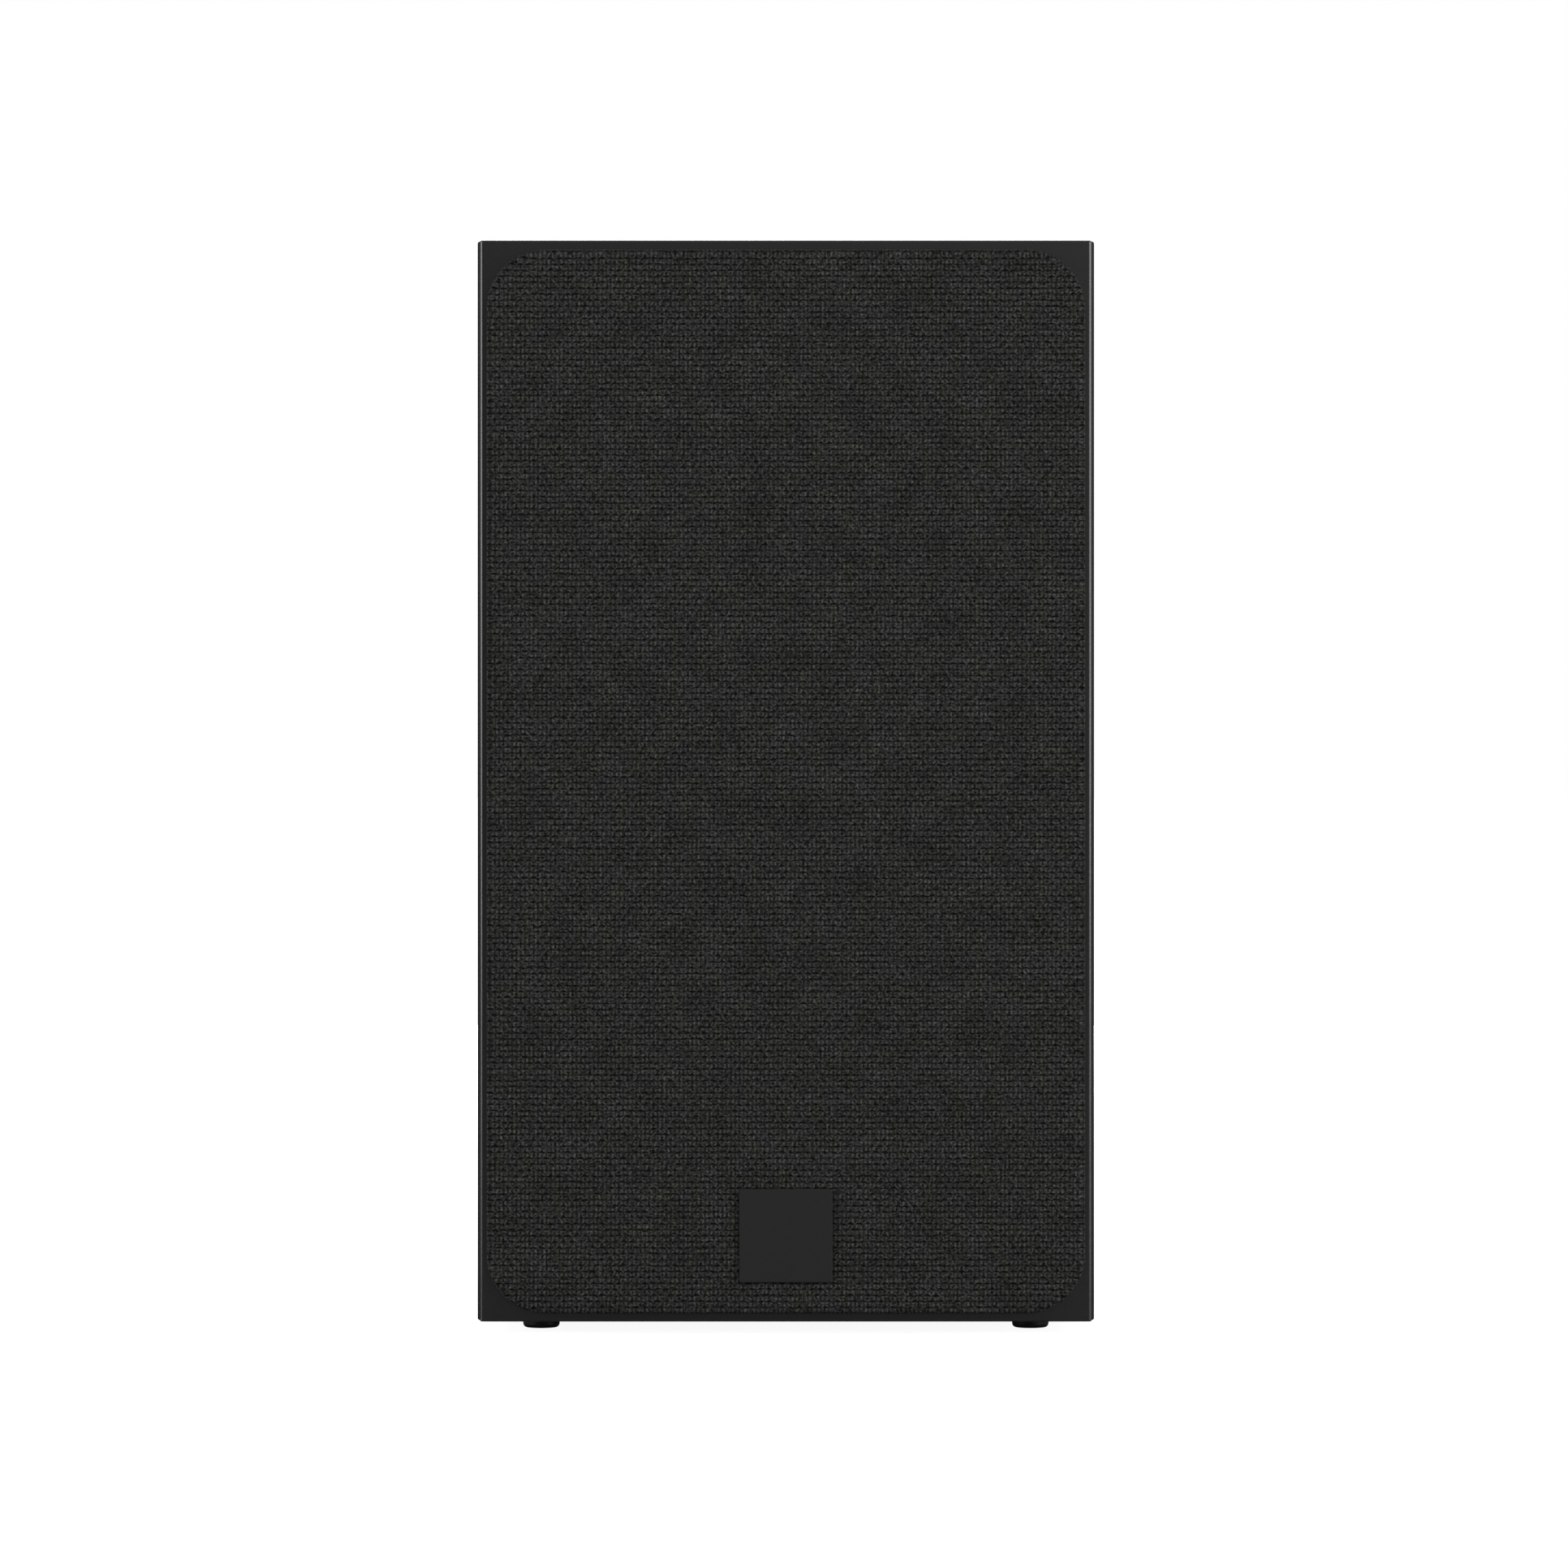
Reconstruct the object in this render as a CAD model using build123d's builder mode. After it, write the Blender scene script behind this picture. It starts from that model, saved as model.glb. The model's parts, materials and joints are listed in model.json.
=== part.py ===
"""Two-way bookshelf loudspeaker with a clip-on cloth grille, in millimetres.

The speaker stands on its feet at Z = 0. It faces -Y, +X is to the right seen from the front,
and the origin is on the floor under the middle of its depth.
"""

import os
from math import cos, radians, sin, tan

from build123d import *

os.makedirs("parts", exist_ok=True)

# Cabinet
CABINET_WIDTH = 200.0
CABINET_HEIGHT = 350.0
TOTAL_DEPTH = 315.0
WALL = 15.0
CORNER_RADIUS = 0.8
FRONT_EDGE_RADIUS = 1.0
EASED_EDGE = 0.4
BAFFLE_THICKNESS = 18.0
BAFFLE_SEAM = 0.6
BAFFLE_STEP_WIDTH = 1.0
BAFFLE_STEP_DEPTH = 6.0
REAR_PANEL_THICKNESS = 15.0
REAR_INSET = 4.0
FOOT_HEIGHT = 4.0
FOOT_RADIUS = 6.3
FOOT_INSET_X = 20.0
FOOT_INSET_Y = 28.0
BRACE_THICKNESS = 12.0
BRACE_HEIGHT = 201.0
PAD_THICKNESS = 15.0

# Grille
GRILLE_MARGIN = 3.5
GRILLE_CORNER = 19.0
GRILLE_THICKNESS = 11.0
GRILLE_EDGE_RADIUS = 1.6
GRILLE_GAP = 0.8
CLOTH_THICKNESS = 0.7
HEM_WIDTH = 7.0
WINDOW_LIP = 3.0
WINDOW_FLARE = 20.0
WOOFER_WINDOW_RADIUS = 84.0
TWEETER_WINDOW = (168.0, 122.0)
TWEETER_WINDOW_CORNER = 40.0
PEG_X = 84.0
PEG_HEIGHTS = (18.0, 205.0, 332.0)
PEG_RADIUS = 2.8
SOCKET_RADIUS = 5.0
SOCKET_DEPTH = 12.5
BADGE_SIZE = 30.0
BADGE_PROUD = 1.2
BADGE_HEIGHT = 28.6
BADGE_PIN_SPACING = 18.0
BADGE_PIN_RADIUS = 1.2
BADGE_PIN_DROP = 8.0

# Drive units
WOOFER_HEIGHT = 112.0
WOOFER_RADIUS = 90.0
WOOFER_HOLE_RADIUS = 79.0
WOOFER_SCREW_CIRCLE = 84.5
TWEETER_HEIGHT = 264.0
TWEETER_RADIUS = 52.0
TWEETER_HOLE_RADIUS = 38.0
TWEETER_SCREW_CIRCLE = 45.0
GASKET = 0.8
FIT_GAP = 0.2

# Rear fittings
PORT_HEIGHT = 262.0
PORT_RADIUS = 25.0
PORT_WALL = 2.5
PORT_FLARE = 15.0
PORT_LENGTH = 118.0
PORT_FLANGE_RADIUS = 50.5
TERMINAL_HEIGHT = 88.0
CUP_FLANGE = (116.0, 82.0)
CUP_BODY = (100.0, 66.0)
CUP_DEPTH = 30.0
CUP_WALL = 3.0
CUP_DRAFT = 3.0
CUP_SCREWS = (106.0, 72.0)
FLANGE_THICKNESS = 3.0
POST_SPACING = 36.0
POST_RADIUS = 3.0
BANANA_RADIUS = 2.0
BANANA_DEPTH = 17.0
WIRE_HOLE_RADIUS = 1.4
THREAD_CLEARANCE = 0.08
CAP_RADIUS = 7.8
CAP_FLUTES = 18

# Places worked out from the sizes above
FRONT_Y = -TOTAL_DEPTH / 2
REAR_Y = TOTAL_DEPTH / 2
CLOTH_Y = FRONT_Y + BADGE_PROUD
FRAME_Y = CLOTH_Y + CLOTH_THICKNESS
GRILLE_BACK_Y = CLOTH_Y + GRILLE_THICKNESS
BAFFLE_Y = GRILLE_BACK_Y + GRILLE_GAP
SLEEVE_Y = BAFFLE_Y + BAFFLE_THICKNESS
REAR_PANEL_Y = REAR_Y - REAR_INSET
REAR_PANEL_FRONT_Y = REAR_PANEL_Y - REAR_PANEL_THICKNESS
BASE_Z = FOOT_HEIGHT
MIDDLE_Z = BASE_Z + CABINET_HEIGHT / 2
FLOOR_Z = BASE_Z + WALL
CEILING_Z = BASE_Z + CABINET_HEIGHT - WALL
INNER_WIDTH = CABINET_WIDTH - 2 * WALL
INNER_HEIGHT = CABINET_HEIGHT - 2 * WALL
WOOFER_Z = BASE_Z + WOOFER_HEIGHT
TWEETER_Z = BASE_Z + TWEETER_HEIGHT
PORT_Z = BASE_Z + PORT_HEIGHT
TERMINAL_Z = BASE_Z + TERMINAL_HEIGHT
BADGE_Z = BASE_Z + BADGE_HEIGHT
CUP_FACE_Y = REAR_PANEL_Y + GASKET + FLANGE_THICKNESS
CUP_FLOOR_Y = CUP_FACE_Y - CUP_DEPTH
CUP_BACK_Y = CUP_FLOOR_Y - CUP_WALL
GRILLE_WIDTH = CABINET_WIDTH - 2 * GRILLE_MARGIN
GRILLE_HEIGHT = CABINET_HEIGHT - 2 * GRILLE_MARGIN
PEG_POINTS = [(side * PEG_X, BASE_Z + height) for side in (-1, 1) for height in PEG_HEIGHTS]
FEET_POINTS = [
    (side * (CABINET_WIDTH / 2 - FOOT_INSET_X), y)
    for side in (-1, 1)
    for y in (BAFFLE_Y + FOOT_INSET_Y, REAR_Y - FOOT_INSET_Y)
]


def front_plane(y):
    """Upright plane at depth y, seen from the front: sketch X is across and sketch Y is up."""
    return Plane.XZ.offset(-y)


def rear_plane(y):
    """Upright plane at depth y, seen from behind: sketch Y is up, and it faces the rear."""
    return Plane(origin=(0, y, 0), x_dir=(-1, 0, 0), z_dir=(0, 1, 0))


def ring_section(inner, outer, front, back):
    """Adds a ring's rectangular half section, radius across and depth up, to the open sketch."""
    with Locations((inner, front)):
        Rectangle(outer - inner, back - front, align=(Align.MIN, Align.MIN))


def polar_points(radius, count, start, centre_z):
    """Points, each an x and a z, evenly round a circle from a start angle in degrees."""
    angles = [radians(360 / count * k + start) for k in range(count)]
    return [(radius * cos(angle), centre_z + radius * sin(angle)) for angle in angles]


def save(piece, name):
    """Labels a finished piece and writes it as one node."""
    piece.part.label = name
    export_step(piece.part, f"parts/{name}.step")


# Drive units: sketch X is the radius and sketch Y the depth behind the baffle's face.
WOOFER_SECTION = Plane((0, BAFFLE_Y, WOOFER_Z))
WOOFER_AXIS = Axis((0, BAFFLE_Y, WOOFER_Z), (0, 1, 0))
TWEETER_SECTION = Plane((0, BAFFLE_Y, TWEETER_Z))
TWEETER_AXIS = Axis((0, BAFFLE_Y, TWEETER_Z), (0, 1, 0))

# Woofer depths behind the baffle's face
TRIM_LIP = 1.5
FLANGE_FACE = 2.5
FLANGE_BACK = 6.0
WOOFER_RECESS = FLANGE_BACK + GASKET
LEDGE_DEPTH = 39.5
PLATE_FACE = 55.0
PLATE_BACK = 61.0
MAGNET_BACK = 79.0
YOKE_BACK = 86.0
POLE_FACE = 54.0

# Woofer radii
SURROUND_INNER = 63.0
SURROUND_OUTER = 77.0
CONE_EDGE = 60.0
FORMER_RADIUS = 19.3
POLE_RADIUS = 18.5
PLATE_BORE = 20.7
PLATE_RADIUS = 46.0
MAGNET_RADIUS = 50.0
SPOKES = 6
WOOFER_SCREWS = 6
SCREW_RADIUS = 2.0
SCREW_TIP = 16.0

# Tweeter depths and radii
FACEPLATE_THICKNESS = 4.0
TWEETER_RECESS = FACEPLATE_THICKNESS + GASKET
DOME_SEAT = 3.4
DOME_RADIUS = 14.2
DOME_RISE = 5.2
ROLL_OUTER = 17.8
ROLL_INNER = 14.8
TWEETER_PLATE_BACK = 8.0
TWEETER_MAGNET_BACK = 20.0
TWEETER_YOKE_BACK = 24.0
CHAMBER_BACK = 40.0
TWEETER_SCREWS = 4
TWEETER_SCREW_RADIUS = 1.6
TWEETER_SCREW_HEAD = 3.2
TWEETER_SCREW_TIP = 15.0

# Board
BOARD_SIZE = (100.0, 80.0)
BOARD_THICKNESS = 1.6
BOARD_Y = 80.0
STANDOFF_HEIGHT = 6.0
STANDOFF_RADIUS = 3.5
BOARD_PIN_SPACING = (88.0, 68.0)
BOARD_PIN_RADIUS = 1.5
BOARD_PIN_DEPTH = 8.0
BOARD_TOP_Z = FLOOR_Z + STANDOFF_HEIGHT + BOARD_THICKNESS


# Cabinet: a folded sleeve of four mitred panels, a front baffle, a rear panel and a brace
def sleeve_panel(corners):
    """Sketches the sleeve's wall between four mitre corners, given about the cabinet's middle."""
    with Locations((0, MIDDLE_Z)):
        RectangleRounded(CABINET_WIDTH, CABINET_HEIGHT, CORNER_RADIUS)
        Rectangle(INNER_WIDTH, INNER_HEIGHT, mode=Mode.SUBTRACT)
        Polygon(*corners, align=None, mode=Mode.INTERSECT)


OUT_X = CABINET_WIDTH / 2
OUT_Z = CABINET_HEIGHT / 2
IN_X = INNER_WIDTH / 2
IN_Z = INNER_HEIGHT / 2
SLEEVE_LENGTH = REAR_Y - SLEEVE_Y

with BuildPart() as top_panel:
    with BuildSketch(front_plane(SLEEVE_Y)):
        sleeve_panel([(-OUT_X, OUT_Z), (-IN_X, IN_Z), (IN_X, IN_Z), (OUT_X, OUT_Z)])
    extrude(amount=-SLEEVE_LENGTH)
save(top_panel, "top_panel")

with BuildPart() as bottom_panel:
    with BuildSketch(front_plane(SLEEVE_Y)):
        sleeve_panel([(-OUT_X, -OUT_Z), (OUT_X, -OUT_Z), (IN_X, -IN_Z), (-IN_X, -IN_Z)])
    extrude(amount=-SLEEVE_LENGTH)
    with BuildSketch(Plane((0, BOARD_Y, FLOOR_Z))):
        with GridLocations(*BOARD_PIN_SPACING, 2, 2):
            Circle(BOARD_PIN_RADIUS)
    extrude(amount=-BOARD_PIN_DEPTH, mode=Mode.SUBTRACT)
save(bottom_panel, "bottom_panel")

for side, name in ((-1, "left_panel"), (1, "right_panel")):
    with BuildPart() as side_panel:
        with BuildSketch(front_plane(SLEEVE_Y)):
            corners = [(OUT_X, OUT_Z), (IN_X, IN_Z), (IN_X, -IN_Z), (OUT_X, -OUT_Z)]
            sleeve_panel([(side * x, z) for x, z in corners])
        extrude(amount=-SLEEVE_LENGTH)
    save(side_panel, name)

# The baffle's face is a little narrower than the cabinet, so a fine step runs down each side.
with BuildPart() as baffle_face:
    with BuildSketch(Plane((0, BAFFLE_Y, BASE_Z))):
        with Locations((0, BAFFLE_STEP_DEPTH / 2)):
            Rectangle(CABINET_WIDTH - 2 * BAFFLE_STEP_WIDTH, BAFFLE_STEP_DEPTH)
        fillet(vertices().group_by(Axis.Y)[0], FRONT_EDGE_RADIUS)
    extrude(amount=CABINET_HEIGHT)
    fillet(edges().filter_by(Axis.Z, reverse=True).sort_by(Axis.Y)[:-2], EASED_EDGE)

with BuildPart() as front_baffle:
    with BuildSketch(front_plane(BAFFLE_Y + BAFFLE_STEP_DEPTH)):
        with Locations((0, MIDDLE_Z)):
            RectangleRounded(CABINET_WIDTH, CABINET_HEIGHT, CORNER_RADIUS)
    extrude(amount=BAFFLE_STEP_DEPTH - BAFFLE_THICKNESS)
    chamfer(edges().group_by(Axis.Y)[-1], BAFFLE_SEAM)
    add(baffle_face.part)
    with Locations(front_plane(BAFFLE_Y) * Pos(0, WOOFER_Z)):
        CounterBoreHole(WOOFER_HOLE_RADIUS, WOOFER_RADIUS + FIT_GAP, WOOFER_RECESS)
        with PolarLocations(WOOFER_SCREW_CIRCLE, WOOFER_SCREWS):
            Hole(SCREW_RADIUS, depth=SCREW_TIP)
    with Locations(front_plane(BAFFLE_Y) * Pos(0, TWEETER_Z)):
        CounterBoreHole(TWEETER_HOLE_RADIUS, TWEETER_RADIUS + FIT_GAP, TWEETER_RECESS)
        with PolarLocations(TWEETER_SCREW_CIRCLE, TWEETER_SCREWS, start_angle=45):
            Hole(TWEETER_SCREW_RADIUS, depth=TWEETER_SCREW_TIP)
    with Locations(*[front_plane(BAFFLE_Y) * Pos(x, z) for x, z in PEG_POINTS]):
        Hole(SOCKET_RADIUS, depth=SOCKET_DEPTH)
save(front_baffle, "front_baffle")

PORT_HOLE_RADIUS = PORT_RADIUS + PORT_FLARE + 3.0
PORT_SCREW_CIRCLE = PORT_HOLE_RADIUS + 3.5
PORT_SCREWS = 4
REAR_SCREW_RADIUS = 1.6
REAR_SCREW_HEAD = 3.0
REAR_SCREW_LENGTH = 14.0

with BuildPart(rear_plane(REAR_PANEL_Y)) as rear_panel:
    with BuildSketch(rear_plane(REAR_PANEL_Y)):
        with Locations((0, MIDDLE_Z)):
            Rectangle(INNER_WIDTH, INNER_HEIGHT)
        with Locations((0, PORT_Z)):
            Circle(PORT_HOLE_RADIUS, mode=Mode.SUBTRACT)
        with Locations((0, TERMINAL_Z)):
            RectangleRounded(CUP_BODY[0] + 1, CUP_BODY[1] + 1, 6.5, mode=Mode.SUBTRACT)
    extrude(amount=-REAR_PANEL_THICKNESS)
    with Locations((0, PORT_Z)):
        with PolarLocations(PORT_SCREW_CIRCLE, PORT_SCREWS, start_angle=45):
            Hole(REAR_SCREW_RADIUS, depth=REAR_SCREW_LENGTH - FLANGE_THICKNESS)
    with Locations((0, TERMINAL_Z)):
        with GridLocations(*CUP_SCREWS, 2, 2):
            Hole(REAR_SCREW_RADIUS, depth=REAR_SCREW_LENGTH - FLANGE_THICKNESS - GASKET)
save(rear_panel, "rear_panel")

BRACE_DEPTH = REAR_PANEL_FRONT_Y - SLEEVE_Y
BRACE_WINDOW = (62.0, 100.0)
BRACE_WINDOW_SPACING = (76.0, 124.0)

with BuildPart() as cabinet_brace:
    with BuildSketch(Plane((0, SLEEVE_Y + BRACE_DEPTH / 2, BASE_Z + BRACE_HEIGHT))):
        Rectangle(INNER_WIDTH, BRACE_DEPTH)
        with GridLocations(*BRACE_WINDOW_SPACING, 2, 2):
            RectangleRounded(*BRACE_WINDOW, 12, mode=Mode.SUBTRACT)
    extrude(amount=BRACE_THICKNESS)
save(cabinet_brace, "cabinet_brace")

SIDE_PAD = (160.0, 150.0)
TOP_PAD = (150.0, 200.0)
SIDE_PAD_CENTRE = (30.0, 115.0)

with BuildPart() as damping_wadding:
    for side in (-1, 1):
        with BuildSketch(Plane.YZ.offset(side * (IN_X - PAD_THICKNESS / 2))):
            with Locations(SIDE_PAD_CENTRE):
                RectangleRounded(*SIDE_PAD, 8)
        extrude(amount=PAD_THICKNESS / 2, both=True)
    with BuildSketch(Plane((0, 10, CEILING_Z))):
        RectangleRounded(*TOP_PAD, 8)
    extrude(amount=-PAD_THICKNESS)
save(damping_wadding, "damping_wadding")

with BuildPart() as feet:
    with BuildSketch(Plane.XY.offset(FOOT_HEIGHT)):
        with Locations(*FEET_POINTS):
            Circle(FOOT_RADIUS)
    extrude(amount=-FOOT_HEIGHT, taper=7)
    fillet(edges().group_by(Axis.Z)[0], 1.3)
save(feet, "feet")


# Grille: a moulded frame under a stretched cloth, with a badge in front and pegs behind
with BuildPart() as frame_envelope:
    skin = 2 * CLOTH_THICKNESS
    with BuildSketch(front_plane(FRAME_Y)):
        with Locations((0, MIDDLE_Z)):
            RectangleRounded(GRILLE_WIDTH - skin, GRILLE_HEIGHT - skin, GRILLE_CORNER - CLOTH_THICKNESS)
    extrude(amount=-(GRILLE_THICKNESS - skin))
    fillet(edges().group_by(Axis.Y)[0], GRILLE_EDGE_RADIUS - CLOTH_THICKNESS)
    inset = 2 * (CLOTH_THICKNESS + HEM_WIDTH)
    with BuildSketch(front_plane(GRILLE_BACK_Y)):
        with Locations((0, MIDDLE_Z)):
            RectangleRounded(GRILLE_WIDTH - inset, GRILLE_HEIGHT - inset, GRILLE_CORNER - inset / 2)
    extrude(amount=CLOTH_THICKNESS)


def grille_windows():
    """Sketches the two openings in front of the drive units."""
    with Locations((0, WOOFER_Z)):
        Circle(WOOFER_WINDOW_RADIUS)
    with Locations((0, TWEETER_Z)):
        RectangleRounded(*TWEETER_WINDOW, TWEETER_WINDOW_CORNER)


BADGE_PAD = 36.0
BADGE_PAD_THICKNESS = 2.5
PEG_SEAT = 6.0
PIN_Z = BADGE_Z - BADGE_PIN_DROP
FLARE_DEPTH = GRILLE_THICKNESS - CLOTH_THICKNESS - WINDOW_LIP

with BuildPart() as grille_frame:
    add(frame_envelope.part)
    with BuildSketch(front_plane(FRAME_Y)):
        grille_windows()
    extrude(amount=-WINDOW_LIP, mode=Mode.SUBTRACT)
    with BuildSketch(front_plane(FRAME_Y + WINDOW_LIP)):
        grille_windows()
    extrude(amount=-FLARE_DEPTH, taper=-WINDOW_FLARE, mode=Mode.SUBTRACT)
    with BuildSketch(front_plane(FRAME_Y)):
        with Locations((0, BADGE_Z)):
            RectangleRounded(BADGE_PAD, BADGE_PAD, 3)
    extrude(amount=-BADGE_PAD_THICKNESS)
    with Locations(front_plane(FRAME_Y) * Pos(0, PIN_Z)):
        with GridLocations(BADGE_PIN_SPACING, 0, 2, 1):
            Hole(BADGE_PIN_RADIUS, depth=PEG_SEAT)
    with BuildSketch(front_plane(GRILLE_BACK_Y)):
        with Locations(*PEG_POINTS):
            Circle(PEG_RADIUS)
    extrude(amount=PEG_SEAT, mode=Mode.SUBTRACT)
save(grille_frame, "grille_frame")

with BuildPart() as grille_cloth:
    with BuildSketch(front_plane(CLOTH_Y)):
        with Locations((0, MIDDLE_Z)):
            RectangleRounded(GRILLE_WIDTH, GRILLE_HEIGHT, GRILLE_CORNER)
    extrude(amount=-GRILLE_THICKNESS)
    fillet(edges().group_by(Axis.Y)[0], GRILLE_EDGE_RADIUS)
    add(frame_envelope.part, mode=Mode.SUBTRACT)
    with Locations(front_plane(CLOTH_Y) * Pos(0, PIN_Z)):
        with GridLocations(BADGE_PIN_SPACING, 0, 2, 1):
            Hole(BADGE_PIN_RADIUS, depth=CLOTH_THICKNESS)
save(grille_cloth, "grille_cloth")

with BuildPart() as badge:
    with BuildSketch(front_plane(FRONT_Y)):
        with Locations((0, BADGE_Z)):
            RectangleRounded(BADGE_SIZE, BADGE_SIZE, 0.6)
    extrude(amount=-BADGE_PROUD)
    chamfer(edges().group_by(Axis.Y)[0], 0.3)
    with BuildSketch(front_plane(CLOTH_Y)):
        with Locations((0, PIN_Z)):
            with GridLocations(BADGE_PIN_SPACING, 0, 2, 1):
                Circle(BADGE_PIN_RADIUS)
    extrude(amount=-(CLOTH_THICKNESS + PEG_SEAT - 1))
save(badge, "badge")

PEG_NECK = 2.2
PEG_BULB_START = 5.0
PEG_BULB = PEG_BULB_START + 1.2
PEG_TIP = PEG_BULB + PEG_RADIUS

with BuildPart() as grille_pegs:
    for x, z in PEG_POINTS:
        with BuildSketch(Plane((x, BAFFLE_Y, z))):
            with BuildLine():
                Polyline(
                    (0, PEG_TIP),
                    (0, GRILLE_BACK_Y - BAFFLE_Y - PEG_SEAT),
                    (PEG_RADIUS, GRILLE_BACK_Y - BAFFLE_Y - PEG_SEAT),
                    (PEG_RADIUS, 1),
                    (PEG_NECK, 2),
                    (PEG_NECK, PEG_BULB_START),
                    (PEG_RADIUS, PEG_BULB),
                )
                TangentArc((PEG_RADIUS, PEG_BULB), (0, PEG_TIP), tangent=(0, 1))
            make_face()
        revolve(axis=Axis((x, BAFFLE_Y, z), (0, 1, 0)))
save(grille_pegs, "grille_pegs")

SOCKET_BORE = 3.1
SOCKET_LIP_RADIUS = 6.5
SOCKET_LIP = 0.5

with BuildPart() as grille_sockets:
    for x, z in PEG_POINTS:
        with BuildSketch(Plane((x, BAFFLE_Y, z))):
            ring_section(0, SOCKET_RADIUS, 0, SOCKET_DEPTH)
            ring_section(0, SOCKET_LIP_RADIUS, -SOCKET_LIP, 0)
            with Locations((0, -SOCKET_LIP)):
                Rectangle(SOCKET_BORE, SOCKET_DEPTH - 1, align=(Align.MIN, Align.MIN), mode=Mode.SUBTRACT)
        revolve(axis=Axis((x, BAFFLE_Y, z), (0, 1, 0)))
save(grille_sockets, "grille_sockets")


# Woofer
with BuildPart() as woofer_trim_ring:
    with BuildSketch(WOOFER_SECTION):
        ring_section(SURROUND_OUTER + 1, WOOFER_RADIUS, 0, FLANGE_FACE)
        ring_section(SURROUND_OUTER, SURROUND_OUTER + 4.2, TRIM_LIP, FLANGE_FACE + 1)
        with Locations((SURROUND_OUTER, TRIM_LIP)):
            Rectangle(4.2, FLANGE_FACE, align=(Align.MIN, Align.MIN), mode=Mode.SUBTRACT)
    revolve(axis=WOOFER_AXIS)
    fillet(edges().group_by(Axis.Y)[0], 0.6)
save(woofer_trim_ring, "woofer_trim_ring")

BASKET_OUTLINE = [
    (SURROUND_OUTER - 0.5, FLANGE_FACE),
    (WOOFER_RADIUS - 0.5, FLANGE_FACE),
    (WOOFER_RADIUS - 0.5, FLANGE_BACK),
    (WOOFER_HOLE_RADIUS - 0.4, FLANGE_BACK),
    (55.5, LEDGE_DEPTH + 2.5),
    (49.0, LEDGE_DEPTH + 2.5),
    (47.5, PLATE_FACE),
    (30.0, PLATE_FACE),
    (30.0, PLATE_FACE - 2.5),
    (45.0, PLATE_FACE - 2.5),
    (46.4, LEDGE_DEPTH),
    (53.5, LEDGE_DEPTH),
    (SURROUND_OUTER - 0.5, FLANGE_FACE + 2),
]
BASKET_WINDOW = [(-29, 10), (29, 10), (20, 36), (-20, 36)]

with BuildPart() as woofer_basket:
    with BuildSketch(WOOFER_SECTION):
        with BuildLine():
            Polyline(*BASKET_OUTLINE, close=True)
        make_face()
    revolve(axis=WOOFER_AXIS)
    for k in range(SPOKES):
        angle = radians(360 / SPOKES * k)
        outward = Vector(cos(angle), 0, sin(angle))
        across = Vector(-sin(angle), 0, cos(angle))
        wall = Plane(Vector(0, BAFFLE_Y, WOOFER_Z) + outward * 50, x_dir=across, z_dir=-outward)
        with BuildSketch(wall):
            Polygon(*BASKET_WINDOW, align=None)
            fillet(vertices(), 5)
        extrude(amount=-45, mode=Mode.SUBTRACT)
    with Locations(front_plane(BAFFLE_Y + FLANGE_FACE) * Pos(0, WOOFER_Z)):
        with PolarLocations(WOOFER_SCREW_CIRCLE, WOOFER_SCREWS):
            CounterSinkHole(SCREW_RADIUS, 2 * SCREW_RADIUS, depth=FLANGE_BACK)
save(woofer_basket, "woofer_basket")

ROLL_CENTRE = (SURROUND_INNER + SURROUND_OUTER) / 2
ROLL_HEIGHT = (SURROUND_OUTER - SURROUND_INNER) / 2
LAND = 3.0

with BuildPart() as woofer_surround:
    with BuildSketch(WOOFER_SECTION):
        with BuildLine():
            Polyline(
                (SURROUND_OUTER, TRIM_LIP),
                (SURROUND_OUTER + LAND, TRIM_LIP),
                (SURROUND_OUTER + LAND, FLANGE_FACE),
                (SURROUND_OUTER - 1, FLANGE_FACE),
            )
            ThreePointArc(
                (SURROUND_OUTER - 1, FLANGE_FACE),
                (ROLL_CENTRE, FLANGE_FACE - ROLL_HEIGHT),
                (SURROUND_INNER + 1, FLANGE_FACE),
            )
            Line((SURROUND_INNER + 1, FLANGE_FACE), (CONE_EDGE, FLANGE_FACE))
            Line((CONE_EDGE, FLANGE_FACE), (CONE_EDGE, TRIM_LIP))
            Line((CONE_EDGE, TRIM_LIP), (SURROUND_INNER, TRIM_LIP))
            ThreePointArc(
                (SURROUND_INNER, TRIM_LIP),
                (ROLL_CENTRE, TRIM_LIP - ROLL_HEIGHT),
                (SURROUND_OUTER, TRIM_LIP),
            )
        make_face()
    revolve(axis=WOOFER_AXIS)
save(woofer_surround, "woofer_surround")

CONE_THICKNESS = 0.9
CONE_NECK_DEPTH = 30.0
CONE_SWELL = (38.0, 18.5)
DUST_CAP_SEAT = 0.82
DUST_CAP_RISE = 9.0
DUST_CAP_THICKNESS = 0.7

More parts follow.
